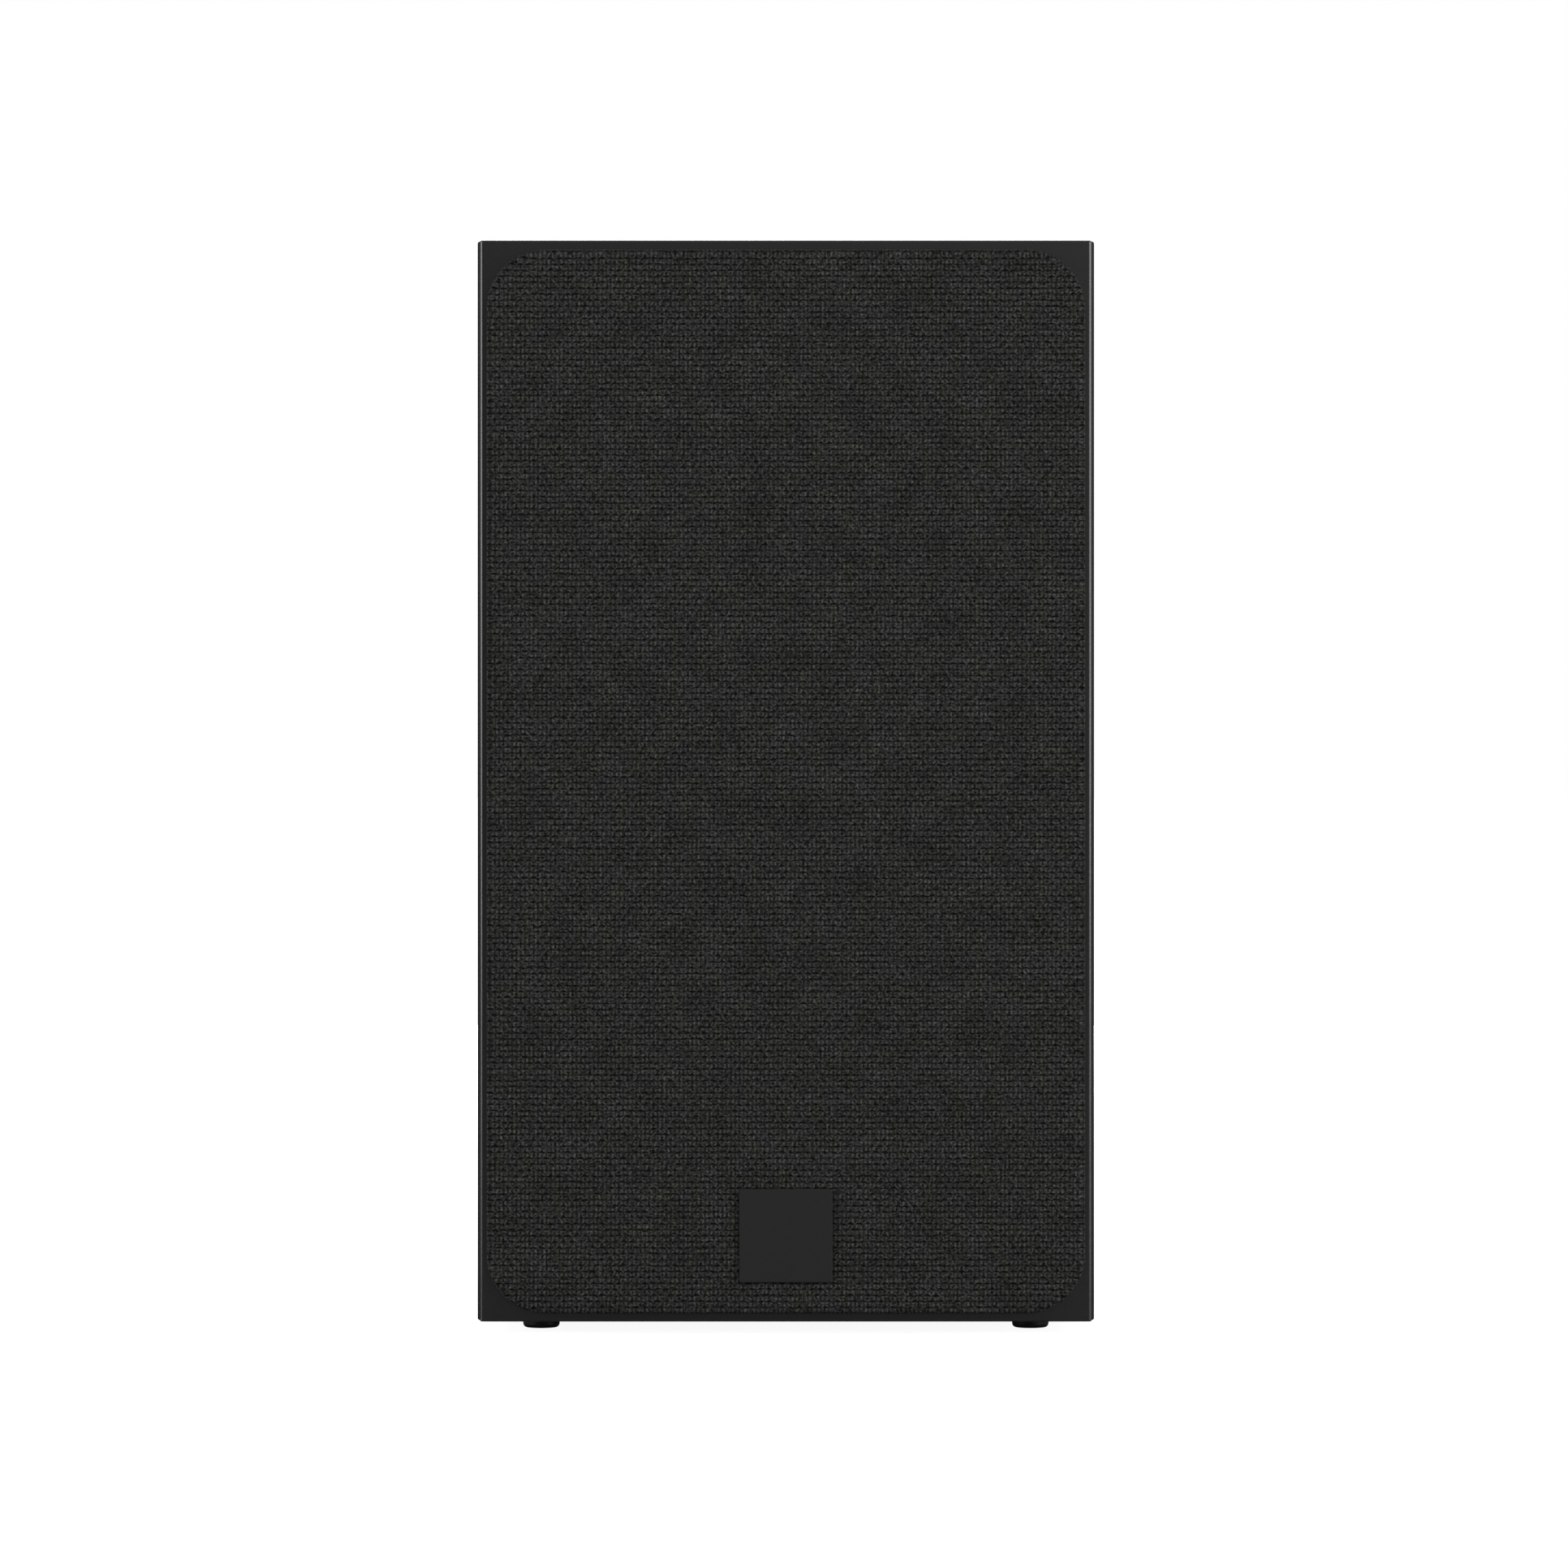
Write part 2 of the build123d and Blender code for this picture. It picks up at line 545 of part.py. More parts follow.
with BuildPart() as woofer_cone:
    with BuildSketch(WOOFER_SECTION):
        with BuildLine():
            cone_front = ThreePointArc(
                (CONE_EDGE, FLANGE_FACE), CONE_SWELL, (FORMER_RADIUS, CONE_NECK_DEPTH)
            )
            Polyline(
                (FORMER_RADIUS, CONE_NECK_DEPTH),
                (FORMER_RADIUS, CONE_NECK_DEPTH + 4),
                (FORMER_RADIUS + CONE_THICKNESS, CONE_NECK_DEPTH + 4),
                (FORMER_RADIUS + CONE_THICKNESS, CONE_NECK_DEPTH + 1),
            )
            ThreePointArc(
                (FORMER_RADIUS + CONE_THICKNESS, CONE_NECK_DEPTH + 1),
                (CONE_SWELL[0] + 0.5, CONE_SWELL[1] + 1),
                (CONE_EDGE + 0.5, FLANGE_FACE + CONE_THICKNESS),
            )
            Polyline(
                (CONE_EDGE + 0.5, FLANGE_FACE + CONE_THICKNESS),
                (SURROUND_INNER + 0.8, FLANGE_FACE + CONE_THICKNESS),
                (SURROUND_INNER + 0.8, FLANGE_FACE),
                (CONE_EDGE, FLANGE_FACE),
            )
        make_face()
    revolve(axis=WOOFER_AXIS)
    cap_outer = cone_front @ DUST_CAP_SEAT
    cap_inner = cone_front @ (DUST_CAP_SEAT + 0.02)
save(woofer_cone, "woofer_cone")

with BuildPart() as woofer_dust_cap:
    apex = cap_outer.Y - DUST_CAP_RISE
    with BuildSketch(WOOFER_SECTION):
        with BuildLine():
            TangentArc((0, apex), (cap_outer.X, cap_outer.Y), tangent=(1, 0))
            Line((cap_outer.X, cap_outer.Y), (cap_inner.X, cap_inner.Y))
            TangentArc((0, apex + DUST_CAP_THICKNESS), (cap_inner.X, cap_inner.Y), tangent=(1, 0))
            Line((0, apex), (0, apex + DUST_CAP_THICKNESS))
        make_face()
    revolve(axis=WOOFER_AXIS)
save(woofer_dust_cap, "woofer_dust_cap")

FORMER_THICKNESS = 0.3
FORMER_FRONT = CONE_NECK_DEPTH - 1
FORMER_BACK = 65.5
COIL_LENGTH = 14.0
COIL_THICKNESS = 0.9
GAP_CENTRE = (PLATE_FACE + PLATE_BACK) / 2

with BuildPart() as voice_coil_former:
    with BuildSketch(WOOFER_SECTION):
        ring_section(FORMER_RADIUS - FORMER_THICKNESS, FORMER_RADIUS, FORMER_FRONT, FORMER_BACK)
    revolve(axis=WOOFER_AXIS)
save(voice_coil_former, "voice_coil_former")

with BuildPart() as voice_coil:
    with BuildSketch(WOOFER_SECTION):
        half = COIL_LENGTH / 2
        ring_section(FORMER_RADIUS, FORMER_RADIUS + COIL_THICKNESS, GAP_CENTRE - half, GAP_CENTRE + half)
    revolve(axis=WOOFER_AXIS)
save(voice_coil, "voice_coil")

SPIDER_THICKNESS = 0.6
SPIDER_START = 20.3
SPIDER_END = 45.9
SPIDER_LAND = 52.5
SPIDER_WAVES = 8
SPIDER_RISE = 1.0
SPIDER_COLLAR = 1.8


def spider_waves(depth):
    """Draws the corrugations as arcs that bulge forwards and back by turns."""
    step = (SPIDER_END - SPIDER_START) / SPIDER_WAVES
    for k in range(SPIDER_WAVES):
        start = SPIDER_START + k * step
        rise = SPIDER_RISE if k % 2 else -SPIDER_RISE
        ThreePointArc((start, depth), (start + step / 2, depth + rise), (start + step, depth))


with BuildPart() as woofer_spider:
    front_face = LEDGE_DEPTH - SPIDER_THICKNESS
    with BuildSketch(WOOFER_SECTION):
        with BuildLine():
            Polyline(
                (SPIDER_START, front_face),
                (SPIDER_START, front_face - SPIDER_COLLAR),
                (FORMER_RADIUS, front_face - SPIDER_COLLAR),
                (FORMER_RADIUS, LEDGE_DEPTH + SPIDER_COLLAR),
                (SPIDER_START, LEDGE_DEPTH + SPIDER_COLLAR),
                (SPIDER_START, LEDGE_DEPTH),
            )
            spider_waves(LEDGE_DEPTH)
            Polyline(
                (SPIDER_END, LEDGE_DEPTH),
                (SPIDER_LAND, LEDGE_DEPTH),
                (SPIDER_LAND, front_face),
                (SPIDER_END, front_face),
            )
            spider_waves(front_face)
        make_face()
    revolve(axis=WOOFER_AXIS)
save(woofer_spider, "woofer_spider")

with BuildPart() as woofer_front_plate:
    with BuildSketch(WOOFER_SECTION):
        ring_section(PLATE_BORE, PLATE_RADIUS, PLATE_FACE, PLATE_BACK)
    revolve(axis=WOOFER_AXIS)
save(woofer_front_plate, "woofer_front_plate")

with BuildPart() as woofer_magnet:
    with BuildSketch(WOOFER_SECTION):
        ring_section(PLATE_BORE + 3.3, MAGNET_RADIUS, PLATE_BACK, MAGNET_BACK)
    revolve(axis=WOOFER_AXIS)
    chamfer(edges().filter_by(GeomType.CIRCLE).sort_by(SortBy.RADIUS)[-2:], 1.5)
save(woofer_magnet, "woofer_magnet")

VENT_RADIUS = 6.0

with BuildPart() as woofer_yoke:
    with BuildSketch(WOOFER_SECTION):
        ring_section(VENT_RADIUS, POLE_RADIUS, POLE_FACE, YOKE_BACK)
        ring_section(VENT_RADIUS, PLATE_RADIUS, MAGNET_BACK, YOKE_BACK)
    revolve(axis=WOOFER_AXIS)
    chamfer(edges().group_by(Axis.Y)[-1].sort_by(SortBy.RADIUS)[-1], 1.5)
save(woofer_yoke, "woofer_yoke")

TAG_WIDTH = 22.0
TAG_THICKNESS = 1.6
TAG_DEPTH = 46.0
TAG_LENGTH = 11.0
TAG_SPACING = 12.0
TAB_LENGTH = 6.0
TAG_TOP_Z = WOOFER_Z - 47.0
TAG_BOTTOM_Z = TAG_TOP_Z - TAG_LENGTH - 2.0


# Tweeter
with BuildPart() as tweeter_faceplate:
    with BuildSketch(TWEETER_SECTION):
        with BuildLine():
            Polyline(
                (32, 0),
                (TWEETER_RADIUS, 0),
                (TWEETER_RADIUS, FACEPLATE_THICKNESS),
                (21.4, FACEPLATE_THICKNESS),
                (21.4, DOME_SEAT),
                (18.6, DOME_SEAT),
                (18.6, 2.6),
            )
            TangentArc((32, 0), (18.6, 2.6), tangent=(-1, 0))
        make_face()
    revolve(axis=TWEETER_AXIS)
    with Locations(front_plane(BAFFLE_Y) * Pos(0, TWEETER_Z)):
        with PolarLocations(TWEETER_SCREW_CIRCLE, TWEETER_SCREWS, start_angle=45):
            CounterSinkHole(TWEETER_SCREW_RADIUS, TWEETER_SCREW_HEAD, depth=FACEPLATE_THICKNESS)
    chamfer(edges().filter_by(GeomType.CIRCLE).group_by(Axis.Y)[0].sort_by(SortBy.RADIUS)[-1], 0.5)
save(tweeter_faceplate, "tweeter_faceplate")

ROLL_RISE = 1.5
ROLL_THICKNESS = 0.5
ROLL_MIDDLE = (ROLL_OUTER + ROLL_INNER) / 2
LAND_OUTER = 21.2
LAND_INNER = 13.6

with BuildPart() as tweeter_surround:
    with BuildSketch(TWEETER_SECTION):
        with BuildLine():
            ThreePointArc(
                (ROLL_INNER, DOME_SEAT), (ROLL_MIDDLE, DOME_SEAT - ROLL_RISE), (ROLL_OUTER, DOME_SEAT)
            )
            Polyline(
                (ROLL_OUTER, DOME_SEAT),
                (LAND_OUTER, DOME_SEAT),
                (LAND_OUTER, FACEPLATE_THICKNESS),
                (ROLL_OUTER - ROLL_THICKNESS, FACEPLATE_THICKNESS),
            )
            ThreePointArc(
                (ROLL_OUTER - ROLL_THICKNESS, FACEPLATE_THICKNESS),
                (ROLL_MIDDLE, DOME_SEAT - ROLL_RISE + ROLL_THICKNESS),
                (ROLL_INNER + ROLL_THICKNESS, FACEPLATE_THICKNESS),
            )
            Polyline(
                (ROLL_INNER + ROLL_THICKNESS, FACEPLATE_THICKNESS),
                (LAND_INNER, FACEPLATE_THICKNESS),
                (LAND_INNER, DOME_SEAT),
                (ROLL_INNER, DOME_SEAT),
            )
        make_face()
    revolve(axis=TWEETER_AXIS)
save(tweeter_surround, "tweeter_surround")

DOME_THICKNESS = 0.4

with BuildPart() as tweeter_dome:
    apex = DOME_SEAT - DOME_RISE
    with BuildSketch(TWEETER_SECTION):
        with BuildLine():
            TangentArc((0, apex), (DOME_RADIUS, DOME_SEAT), tangent=(1, 0))
            Line((DOME_RADIUS, DOME_SEAT), (DOME_RADIUS - DOME_THICKNESS, DOME_SEAT))
            TangentArc(
                (0, apex + DOME_THICKNESS), (DOME_RADIUS - DOME_THICKNESS, DOME_SEAT), tangent=(1, 0)
            )
            Line((0, apex), (0, apex + DOME_THICKNESS))
        make_face()
    revolve(axis=TWEETER_AXIS)
save(tweeter_dome, "tweeter_dome")

DOME_COIL_INNER = 13.9
DOME_COIL_OUTER = 14.6
DOME_COIL_BACK = 9.5

with BuildPart() as tweeter_coil:
    with BuildSketch(TWEETER_SECTION):
        ring_section(DOME_COIL_INNER, DOME_COIL_OUTER, FACEPLATE_THICKNESS, DOME_COIL_BACK)
    revolve(axis=TWEETER_AXIS)
save(tweeter_coil, "tweeter_coil")

TWEETER_MAGNET_RADIUS = 36.0
TWEETER_POLE_RADIUS = 13.4
TWEETER_BORE = 15.1

with BuildPart() as tweeter_front_plate:
    with BuildSketch(TWEETER_SECTION):
        ring_section(TWEETER_BORE, TWEETER_MAGNET_RADIUS - 1, FACEPLATE_THICKNESS, TWEETER_PLATE_BACK)
    revolve(axis=TWEETER_AXIS)
save(tweeter_front_plate, "tweeter_front_plate")

with BuildPart() as tweeter_magnet:
    with BuildSketch(TWEETER_SECTION):
        ring_section(TWEETER_BORE + 3, TWEETER_MAGNET_RADIUS, TWEETER_PLATE_BACK, TWEETER_MAGNET_BACK)
    revolve(axis=TWEETER_AXIS)
    chamfer(edges().filter_by(GeomType.CIRCLE).sort_by(SortBy.RADIUS)[-2:], 1)
save(tweeter_magnet, "tweeter_magnet")

with BuildPart() as tweeter_yoke:
    with BuildSketch(TWEETER_SECTION):
        ring_section(VENT_RADIUS, TWEETER_POLE_RADIUS, FACEPLATE_THICKNESS + 0.8, TWEETER_YOKE_BACK)
        ring_section(VENT_RADIUS, TWEETER_MAGNET_RADIUS - 1, TWEETER_MAGNET_BACK, TWEETER_YOKE_BACK)
    revolve(axis=TWEETER_AXIS)
save(tweeter_yoke, "tweeter_yoke")

CHAMBER_RADIUS = 29.0
CHAMBER_WALL = 2.0

with BuildPart() as tweeter_rear_chamber:
    with BuildSketch(TWEETER_SECTION):
        ring_section(CHAMBER_RADIUS - CHAMBER_WALL, CHAMBER_RADIUS, TWEETER_YOKE_BACK, CHAMBER_BACK)
        ring_section(0, CHAMBER_RADIUS, CHAMBER_BACK - CHAMBER_WALL, CHAMBER_BACK)
    revolve(axis=TWEETER_AXIS)
    fillet(edges().group_by(Axis.Y)[-1], 1.5)
save(tweeter_rear_chamber, "tweeter_rear_chamber")

TWEETER_TAG_X = TWEETER_MAGNET_RADIUS - 1
TWEETER_TAG_DEPTH = 20.5
TWEETER_TAG_LENGTH = 8.0
TWEETER_TAG_SPACING = 10.0
TWEETER_TAG_END_X = -(TWEETER_TAG_X + TWEETER_TAG_LENGTH + TAB_LENGTH)

with BuildPart() as driver_terminals:
    with BuildSketch(front_plane(BAFFLE_Y + TAG_DEPTH)):
        with Locations((0, TAG_TOP_Z)):
            Rectangle(TAG_WIDTH, TAG_LENGTH + 2, align=(Align.CENTER, Align.MAX))
        with Locations((0, TAG_BOTTOM_Z)):
            with GridLocations(TAG_SPACING, 0, 2, 1):
                Rectangle(3, TAB_LENGTH, align=(Align.CENTER, Align.MAX))
    extrude(amount=-TAG_THICKNESS)
    with BuildSketch(front_plane(BAFFLE_Y + TWEETER_TAG_DEPTH)):
        with Locations((-TWEETER_TAG_X + 2, TWEETER_Z)):
            Rectangle(TWEETER_TAG_LENGTH + 2, 18, align=(Align.MAX, Align.CENTER))
        with Locations((-TWEETER_TAG_X - TWEETER_TAG_LENGTH, TWEETER_Z)):
            with GridLocations(0, TWEETER_TAG_SPACING, 1, 2):
                Rectangle(TAB_LENGTH, 3, align=(Align.MAX, Align.CENTER))
    extrude(amount=-TAG_THICKNESS)
    add(woofer_basket.part, mode=Mode.SUBTRACT)
    add(tweeter_yoke.part, mode=Mode.SUBTRACT)
save(driver_terminals, "driver_terminals")


def countersunk_screw(head, shank, length, face, point, rearwards):
    """Adds one screw to the open part: its head is flush with a face, and it runs one way from it."""
    with BuildSketch(Plane((point[0], face, point[1]))) as half:
        with BuildLine():
            Polyline(
                (0, 0),
                (head, 0),
                (shank, rearwards * (head - shank)),
                (shank, rearwards * (length - 2)),
                (0, rearwards * (length - 0.5)),
                close=True,
            )
        make_face()
    revolve(half.sketch, axis=Axis((point[0], face, point[1]), (0, 1, 0)))


with BuildPart() as driver_screws:
    for point in polar_points(WOOFER_SCREW_CIRCLE, WOOFER_SCREWS, 0, WOOFER_Z):
        face = BAFFLE_Y + FLANGE_FACE
        countersunk_screw(2 * SCREW_RADIUS, SCREW_RADIUS, SCREW_TIP - FLANGE_FACE, face, point, 1)
    for point in polar_points(TWEETER_SCREW_CIRCLE, TWEETER_SCREWS, 45, TWEETER_Z):
        countersunk_screw(TWEETER_SCREW_HEAD, TWEETER_SCREW_RADIUS, TWEETER_SCREW_TIP, BAFFLE_Y, point, 1)
save(driver_screws, "driver_screws")


# Reflex port, about an axis that runs out of the rear panel
PORT_SECTION = Plane((0, REAR_PANEL_Y, PORT_Z))
PORT_AXIS = Axis((0, REAR_PANEL_Y, PORT_Z), (0, 1, 0))
FLARE_START = FLANGE_THICKNESS - PORT_FLARE
SPIGOT_END = -60.0
TUBE_START = -45.0
BELL = 6.0

with BuildPart() as port_flare:
    with BuildSketch(PORT_SECTION):
        with BuildLine():
            mouth = PORT_RADIUS + PORT_FLARE
            Polyline(
                (PORT_RADIUS, FLARE_START),
                (PORT_RADIUS, SPIGOT_END),
                (PORT_RADIUS + PORT_WALL, SPIGOT_END),
                (PORT_RADIUS + PORT_WALL, FLARE_START),
            )
            TangentArc(
                (PORT_RADIUS + PORT_WALL, FLARE_START),
                (mouth + PORT_WALL - FLANGE_THICKNESS, 0),
                tangent=(0, 1),
            )
            Polyline(
                (mouth + PORT_WALL - FLANGE_THICKNESS, 0),
                (PORT_FLANGE_RADIUS, 0),
                (PORT_FLANGE_RADIUS, FLANGE_THICKNESS),
                (mouth, FLANGE_THICKNESS),
            )
            TangentArc((PORT_RADIUS, FLARE_START), (mouth, FLANGE_THICKNESS), tangent=(0, 1))
        make_face()
    revolve(axis=PORT_AXIS)
    with Locations(rear_plane(REAR_PANEL_Y + FLANGE_THICKNESS) * Pos(0, PORT_Z)):
        with PolarLocations(PORT_SCREW_CIRCLE, PORT_SCREWS, start_angle=45):
            CounterSinkHole(REAR_SCREW_RADIUS, REAR_SCREW_HEAD, depth=FLANGE_THICKNESS)
save(port_flare, "port_flare")

with BuildPart() as port_tube:
    with BuildSketch(PORT_SECTION):
        with BuildLine():
            wall = PORT_RADIUS + PORT_WALL
            Polyline(
                (PORT_RADIUS, BELL - PORT_LENGTH),
                (PORT_RADIUS, SPIGOT_END),
                (wall, SPIGOT_END),
                (wall, TUBE_START),
                (wall + PORT_WALL, TUBE_START),
                (wall + PORT_WALL, BELL - PORT_LENGTH),
            )
            TangentArc(
                (wall + PORT_WALL, BELL - PORT_LENGTH),
                (wall + PORT_WALL + BELL, -PORT_LENGTH),
                tangent=(0, -1),
            )
            Line((wall + PORT_WALL + BELL, -PORT_LENGTH), (PORT_RADIUS + BELL, -PORT_LENGTH))
            TangentArc(
                (PORT_RADIUS, BELL - PORT_LENGTH), (PORT_RADIUS + BELL, -PORT_LENGTH), tangent=(0, -1)
            )
        make_face()
    revolve(axis=PORT_AXIS)
save(port_tube, "port_tube")


# Terminal cup and binding posts
with BuildPart(rear_plane(CUP_FACE_Y)) as terminal_cup:
    with BuildSketch(rear_plane(CUP_FACE_Y)):
        with Locations((0, TERMINAL_Z)):
            RectangleRounded(*CUP_FLANGE, 8)
    extrude(amount=-FLANGE_THICKNESS)
    chamfer(edges().group_by(Axis.Y)[-1], 0.6)
    with BuildSketch(rear_plane(CUP_FACE_Y)):
        with Locations((0, TERMINAL_Z)):
            RectangleRounded(*CUP_BODY, 6)
    extrude(amount=-(CUP_DEPTH + CUP_WALL))
    with BuildSketch(rear_plane(CUP_FACE_Y)):
        with Locations((0, TERMINAL_Z)):
            RectangleRounded(CUP_BODY[0] - 2 * CUP_WALL, CUP_BODY[1] - 2 * CUP_WALL, 5)
    extrude(amount=-CUP_DEPTH, taper=CUP_DRAFT, mode=Mode.SUBTRACT)
    with Locations((0, TERMINAL_Z)):
        with GridLocations(POST_SPACING, 0, 2, 1):
            Hole(POST_RADIUS, depth=CUP_DEPTH + CUP_WALL)
        with GridLocations(*CUP_SCREWS, 2, 2):
            CounterSinkHole(REAR_SCREW_RADIUS, REAR_SCREW_HEAD, depth=FLANGE_THICKNESS)
save(terminal_cup, "terminal_cup")

with BuildPart() as rear_screws:
    for point in polar_points(PORT_SCREW_CIRCLE, PORT_SCREWS, 45, PORT_Z):
        face = REAR_PANEL_Y + FLANGE_THICKNESS
        countersunk_screw(REAR_SCREW_HEAD, REAR_SCREW_RADIUS, REAR_SCREW_LENGTH, face, point, -1)
    for x in (-CUP_SCREWS[0] / 2, CUP_SCREWS[0] / 2):
        for rise in (-CUP_SCREWS[1] / 2, CUP_SCREWS[1] / 2):
            point = (x, TERMINAL_Z + rise)
            countersunk_screw(REAR_SCREW_HEAD, REAR_SCREW_RADIUS, REAR_SCREW_LENGTH, CUP_FACE_Y, point, -1)
save(rear_screws, "rear_screws")

with BuildPart() as gaskets:
    with BuildSketch(front_plane(BAFFLE_Y + FLANGE_BACK)):
        with Locations((0, WOOFER_Z)):
            Circle(WOOFER_RADIUS - 0.5)
            Circle(WOOFER_HOLE_RADIUS + 1, mode=Mode.SUBTRACT)
            with PolarLocations(WOOFER_SCREW_CIRCLE, WOOFER_SCREWS):
                Circle(SCREW_RADIUS + FIT_GAP, mode=Mode.SUBTRACT)
    extrude(amount=-GASKET)
    with BuildSketch(front_plane(BAFFLE_Y + FACEPLATE_THICKNESS)):
        with Locations((0, TWEETER_Z)):
            Circle(TWEETER_RADIUS - 0.5)
            Circle(TWEETER_HOLE_RADIUS + 1, mode=Mode.SUBTRACT)
            with PolarLocations(TWEETER_SCREW_CIRCLE, TWEETER_SCREWS, start_angle=45):
                Circle(TWEETER_SCREW_RADIUS + FIT_GAP, mode=Mode.SUBTRACT)
    extrude(amount=-GASKET)
    with BuildSketch(rear_plane(REAR_PANEL_Y)):
        with Locations((0, TERMINAL_Z)):
            RectangleRounded(CUP_FLANGE[0] - 1, CUP_FLANGE[1] - 1, 7.5)
            RectangleRounded(CUP_BODY[0] + 1, CUP_BODY[1] + 1, 6.5, mode=Mode.SUBTRACT)
            with GridLocations(*CUP_SCREWS, 2, 2):
                Circle(REAR_SCREW_RADIUS + FIT_GAP, mode=Mode.SUBTRACT)
    extrude(amount=GASKET)
save(gaskets, "gaskets")

# Binding post heights above the cup's floor
COLLAR_TOP = 4.0
SHOULDER_TOP = 5.5
WASHER_BASE = 5.8
WASHER_TOP = 6.8
CAP_BASE = 7.1
INSERT_BASE = 9.0
INSERT_TOP = 22.5
CAP_TOP = 25.5
POST_TOP = 27.0
WIRE_HOLE = 7.3
TAG_PLATE = 1.0
NUT_THICKNESS = 4.0
POST_TAIL = 12.0
COLLAR_RADIUS = 8.5
SHOULDER_RADIUS = 6.0
WASHER_RADIUS = 6.6
INSERT_RADIUS = 5.0
CAP_MOUTH = 3.6
RING_INNER = 4.6
RING_OUTER = 6.4
RING_GROOVE = 0.4
FLUTE_RADIUS = 0.9

for pole, x in (("positive", -POST_SPACING / 2), ("negative", POST_SPACING / 2)):
    section = Plane((x, CUP_FLOOR_Y, TERMINAL_Z))
    post_axis = Axis((x, CUP_FLOOR_Y, TERMINAL_Z), (0, 1, 0))

    with BuildPart() as post:
        with BuildSketch(section):
            ring_section(0, POST_RADIUS, -POST_TAIL, POST_TOP)
            ring_section(0, SHOULDER_RADIUS, COLLAR_TOP, SHOULDER_TOP)
            with Locations((0, POST_TOP)):
                Rectangle(BANANA_RADIUS, BANANA_DEPTH, align=(Align.MIN, Align.MAX), mode=Mode.SUBTRACT)
        revolve(axis=post_axis)
        with BuildSketch(Plane((x, CUP_FLOOR_Y + WIRE_HOLE, TERMINAL_Z))):
            Circle(WIRE_HOLE_RADIUS)
        extrude(amount=2 * POST_RADIUS, both=True, mode=Mode.SUBTRACT)
    save(post, f"{pole}_post")

    with BuildPart() as collar:
        with BuildSketch(section):
            ring_section(POST_RADIUS, COLLAR_RADIUS, 0, COLLAR_TOP)
        revolve(axis=post_axis)
        chamfer(edges().group_by(Axis.Y)[-1].sort_by(SortBy.RADIUS)[-1], 0.6)
    save(collar, f"{pole}_collar")

    with BuildPart() as washer:
        with BuildSketch(section):
            ring_section(POST_RADIUS + THREAD_CLEARANCE, WASHER_RADIUS, WASHER_BASE, WASHER_TOP)
        revolve(axis=post_axis)
    save(washer, f"{pole}_washer")

    with BuildPart() as insert:
        with BuildSketch(section):
            ring_section(POST_RADIUS + THREAD_CLEARANCE, INSERT_RADIUS, INSERT_BASE, INSERT_TOP)
        revolve(axis=post_axis)
    save(insert, f"{pole}_insert")

    with BuildPart() as cap:
        with BuildSketch(section):
            ring_section(CAP_MOUTH, CAP_RADIUS, CAP_BASE, CAP_TOP)
            with Locations((CAP_MOUTH, INSERT_BASE)):
                Rectangle(
                    INSERT_RADIUS - CAP_MOUTH,
                    INSERT_TOP - INSERT_BASE,
                    align=(Align.MIN, Align.MIN),
                    mode=Mode.SUBTRACT,
                )
            with Locations((RING_INNER, CAP_TOP - RING_GROOVE)):
                Rectangle(
                    RING_OUTER - RING_INNER, RING_GROOVE, align=(Align.MIN, Align.MIN), mode=Mode.SUBTRACT
                )
        revolve(axis=post_axis)
        chamfer(edges().group_by(Axis.Y)[-1].sort_by(SortBy.RADIUS)[-1], 0.7)
        with BuildSketch(rear_plane(CUP_FLOOR_Y + CAP_BASE + 2.5)):
            with Locations((-x, TERMINAL_Z)):
                with PolarLocations(CAP_RADIUS + 0.3, CAP_FLUTES):
                    Circle(FLUTE_RADIUS)
        extrude(amount=CAP_TOP, mode=Mode.SUBTRACT)
    save(cap, f"{pole}_cap")

POST_POINTS = [(-POST_SPACING / 2, TERMINAL_Z), (POST_SPACING / 2, TERMINAL_Z)]
SOLDER_TAIL = 14.0

with BuildPart() as post_solder_tags:
    with BuildSketch(front_plane(CUP_BACK_Y)):
        with Locations(*POST_POINTS):
            Circle(6)
            Rectangle(5, SOLDER_TAIL, align=(Align.CENTER, Align.MAX))
            Circle(POST_RADIUS, mode=Mode.SUBTRACT)
    extrude(amount=TAG_PLATE)
save(post_solder_tags, "post_solder_tags")

with BuildPart() as post_nuts:
    with BuildSketch(front_plane(CUP_BACK_Y - TAG_PLATE)):
        with Locations(*POST_POINTS):
            RegularPolygon(5, 6, major_radius=False)
            Circle(POST_RADIUS, mode=Mode.SUBTRACT)
    extrude(amount=NUT_THICKNESS)
save(post_nuts, "post_nuts")


# Crossover: a board on standoffs, behind the woofer's magnet
BOARD_PLANE = Plane((0, BOARD_Y, BOARD_TOP_Z))

with BuildPart() as crossover_standoffs:
    with BuildSketch(Plane((0, BOARD_Y, FLOOR_Z))):
        with GridLocations(*BOARD_PIN_SPACING, 2, 2):
            Circle(STANDOFF_RADIUS)
    extrude(amount=STANDOFF_HEIGHT)
    with BuildSketch(BOARD_PLANE):
        with GridLocations(*BOARD_PIN_SPACING, 2, 2):
            Circle(BOARD_PIN_RADIUS)
    extrude(amount=-(BOARD_THICKNESS + STANDOFF_HEIGHT + BOARD_PIN_DEPTH - 1))
    with BuildSketch(BOARD_PLANE):
        with GridLocations(*BOARD_PIN_SPACING, 2, 2):
            Circle(STANDOFF_RADIUS - 1)
    extrude(amount=2, taper=20)
save(crossover_standoffs, "crossover_standoffs")

with BuildPart() as crossover_board:
    with BuildSketch(BOARD_PLANE):
        RectangleRounded(*BOARD_SIZE, 3)
        with GridLocations(*BOARD_PIN_SPACING, 2, 2):
            Circle(BOARD_PIN_RADIUS, mode=Mode.SUBTRACT)
    extrude(amount=-BOARD_THICKNESS)
save(crossover_board, "crossover_board")

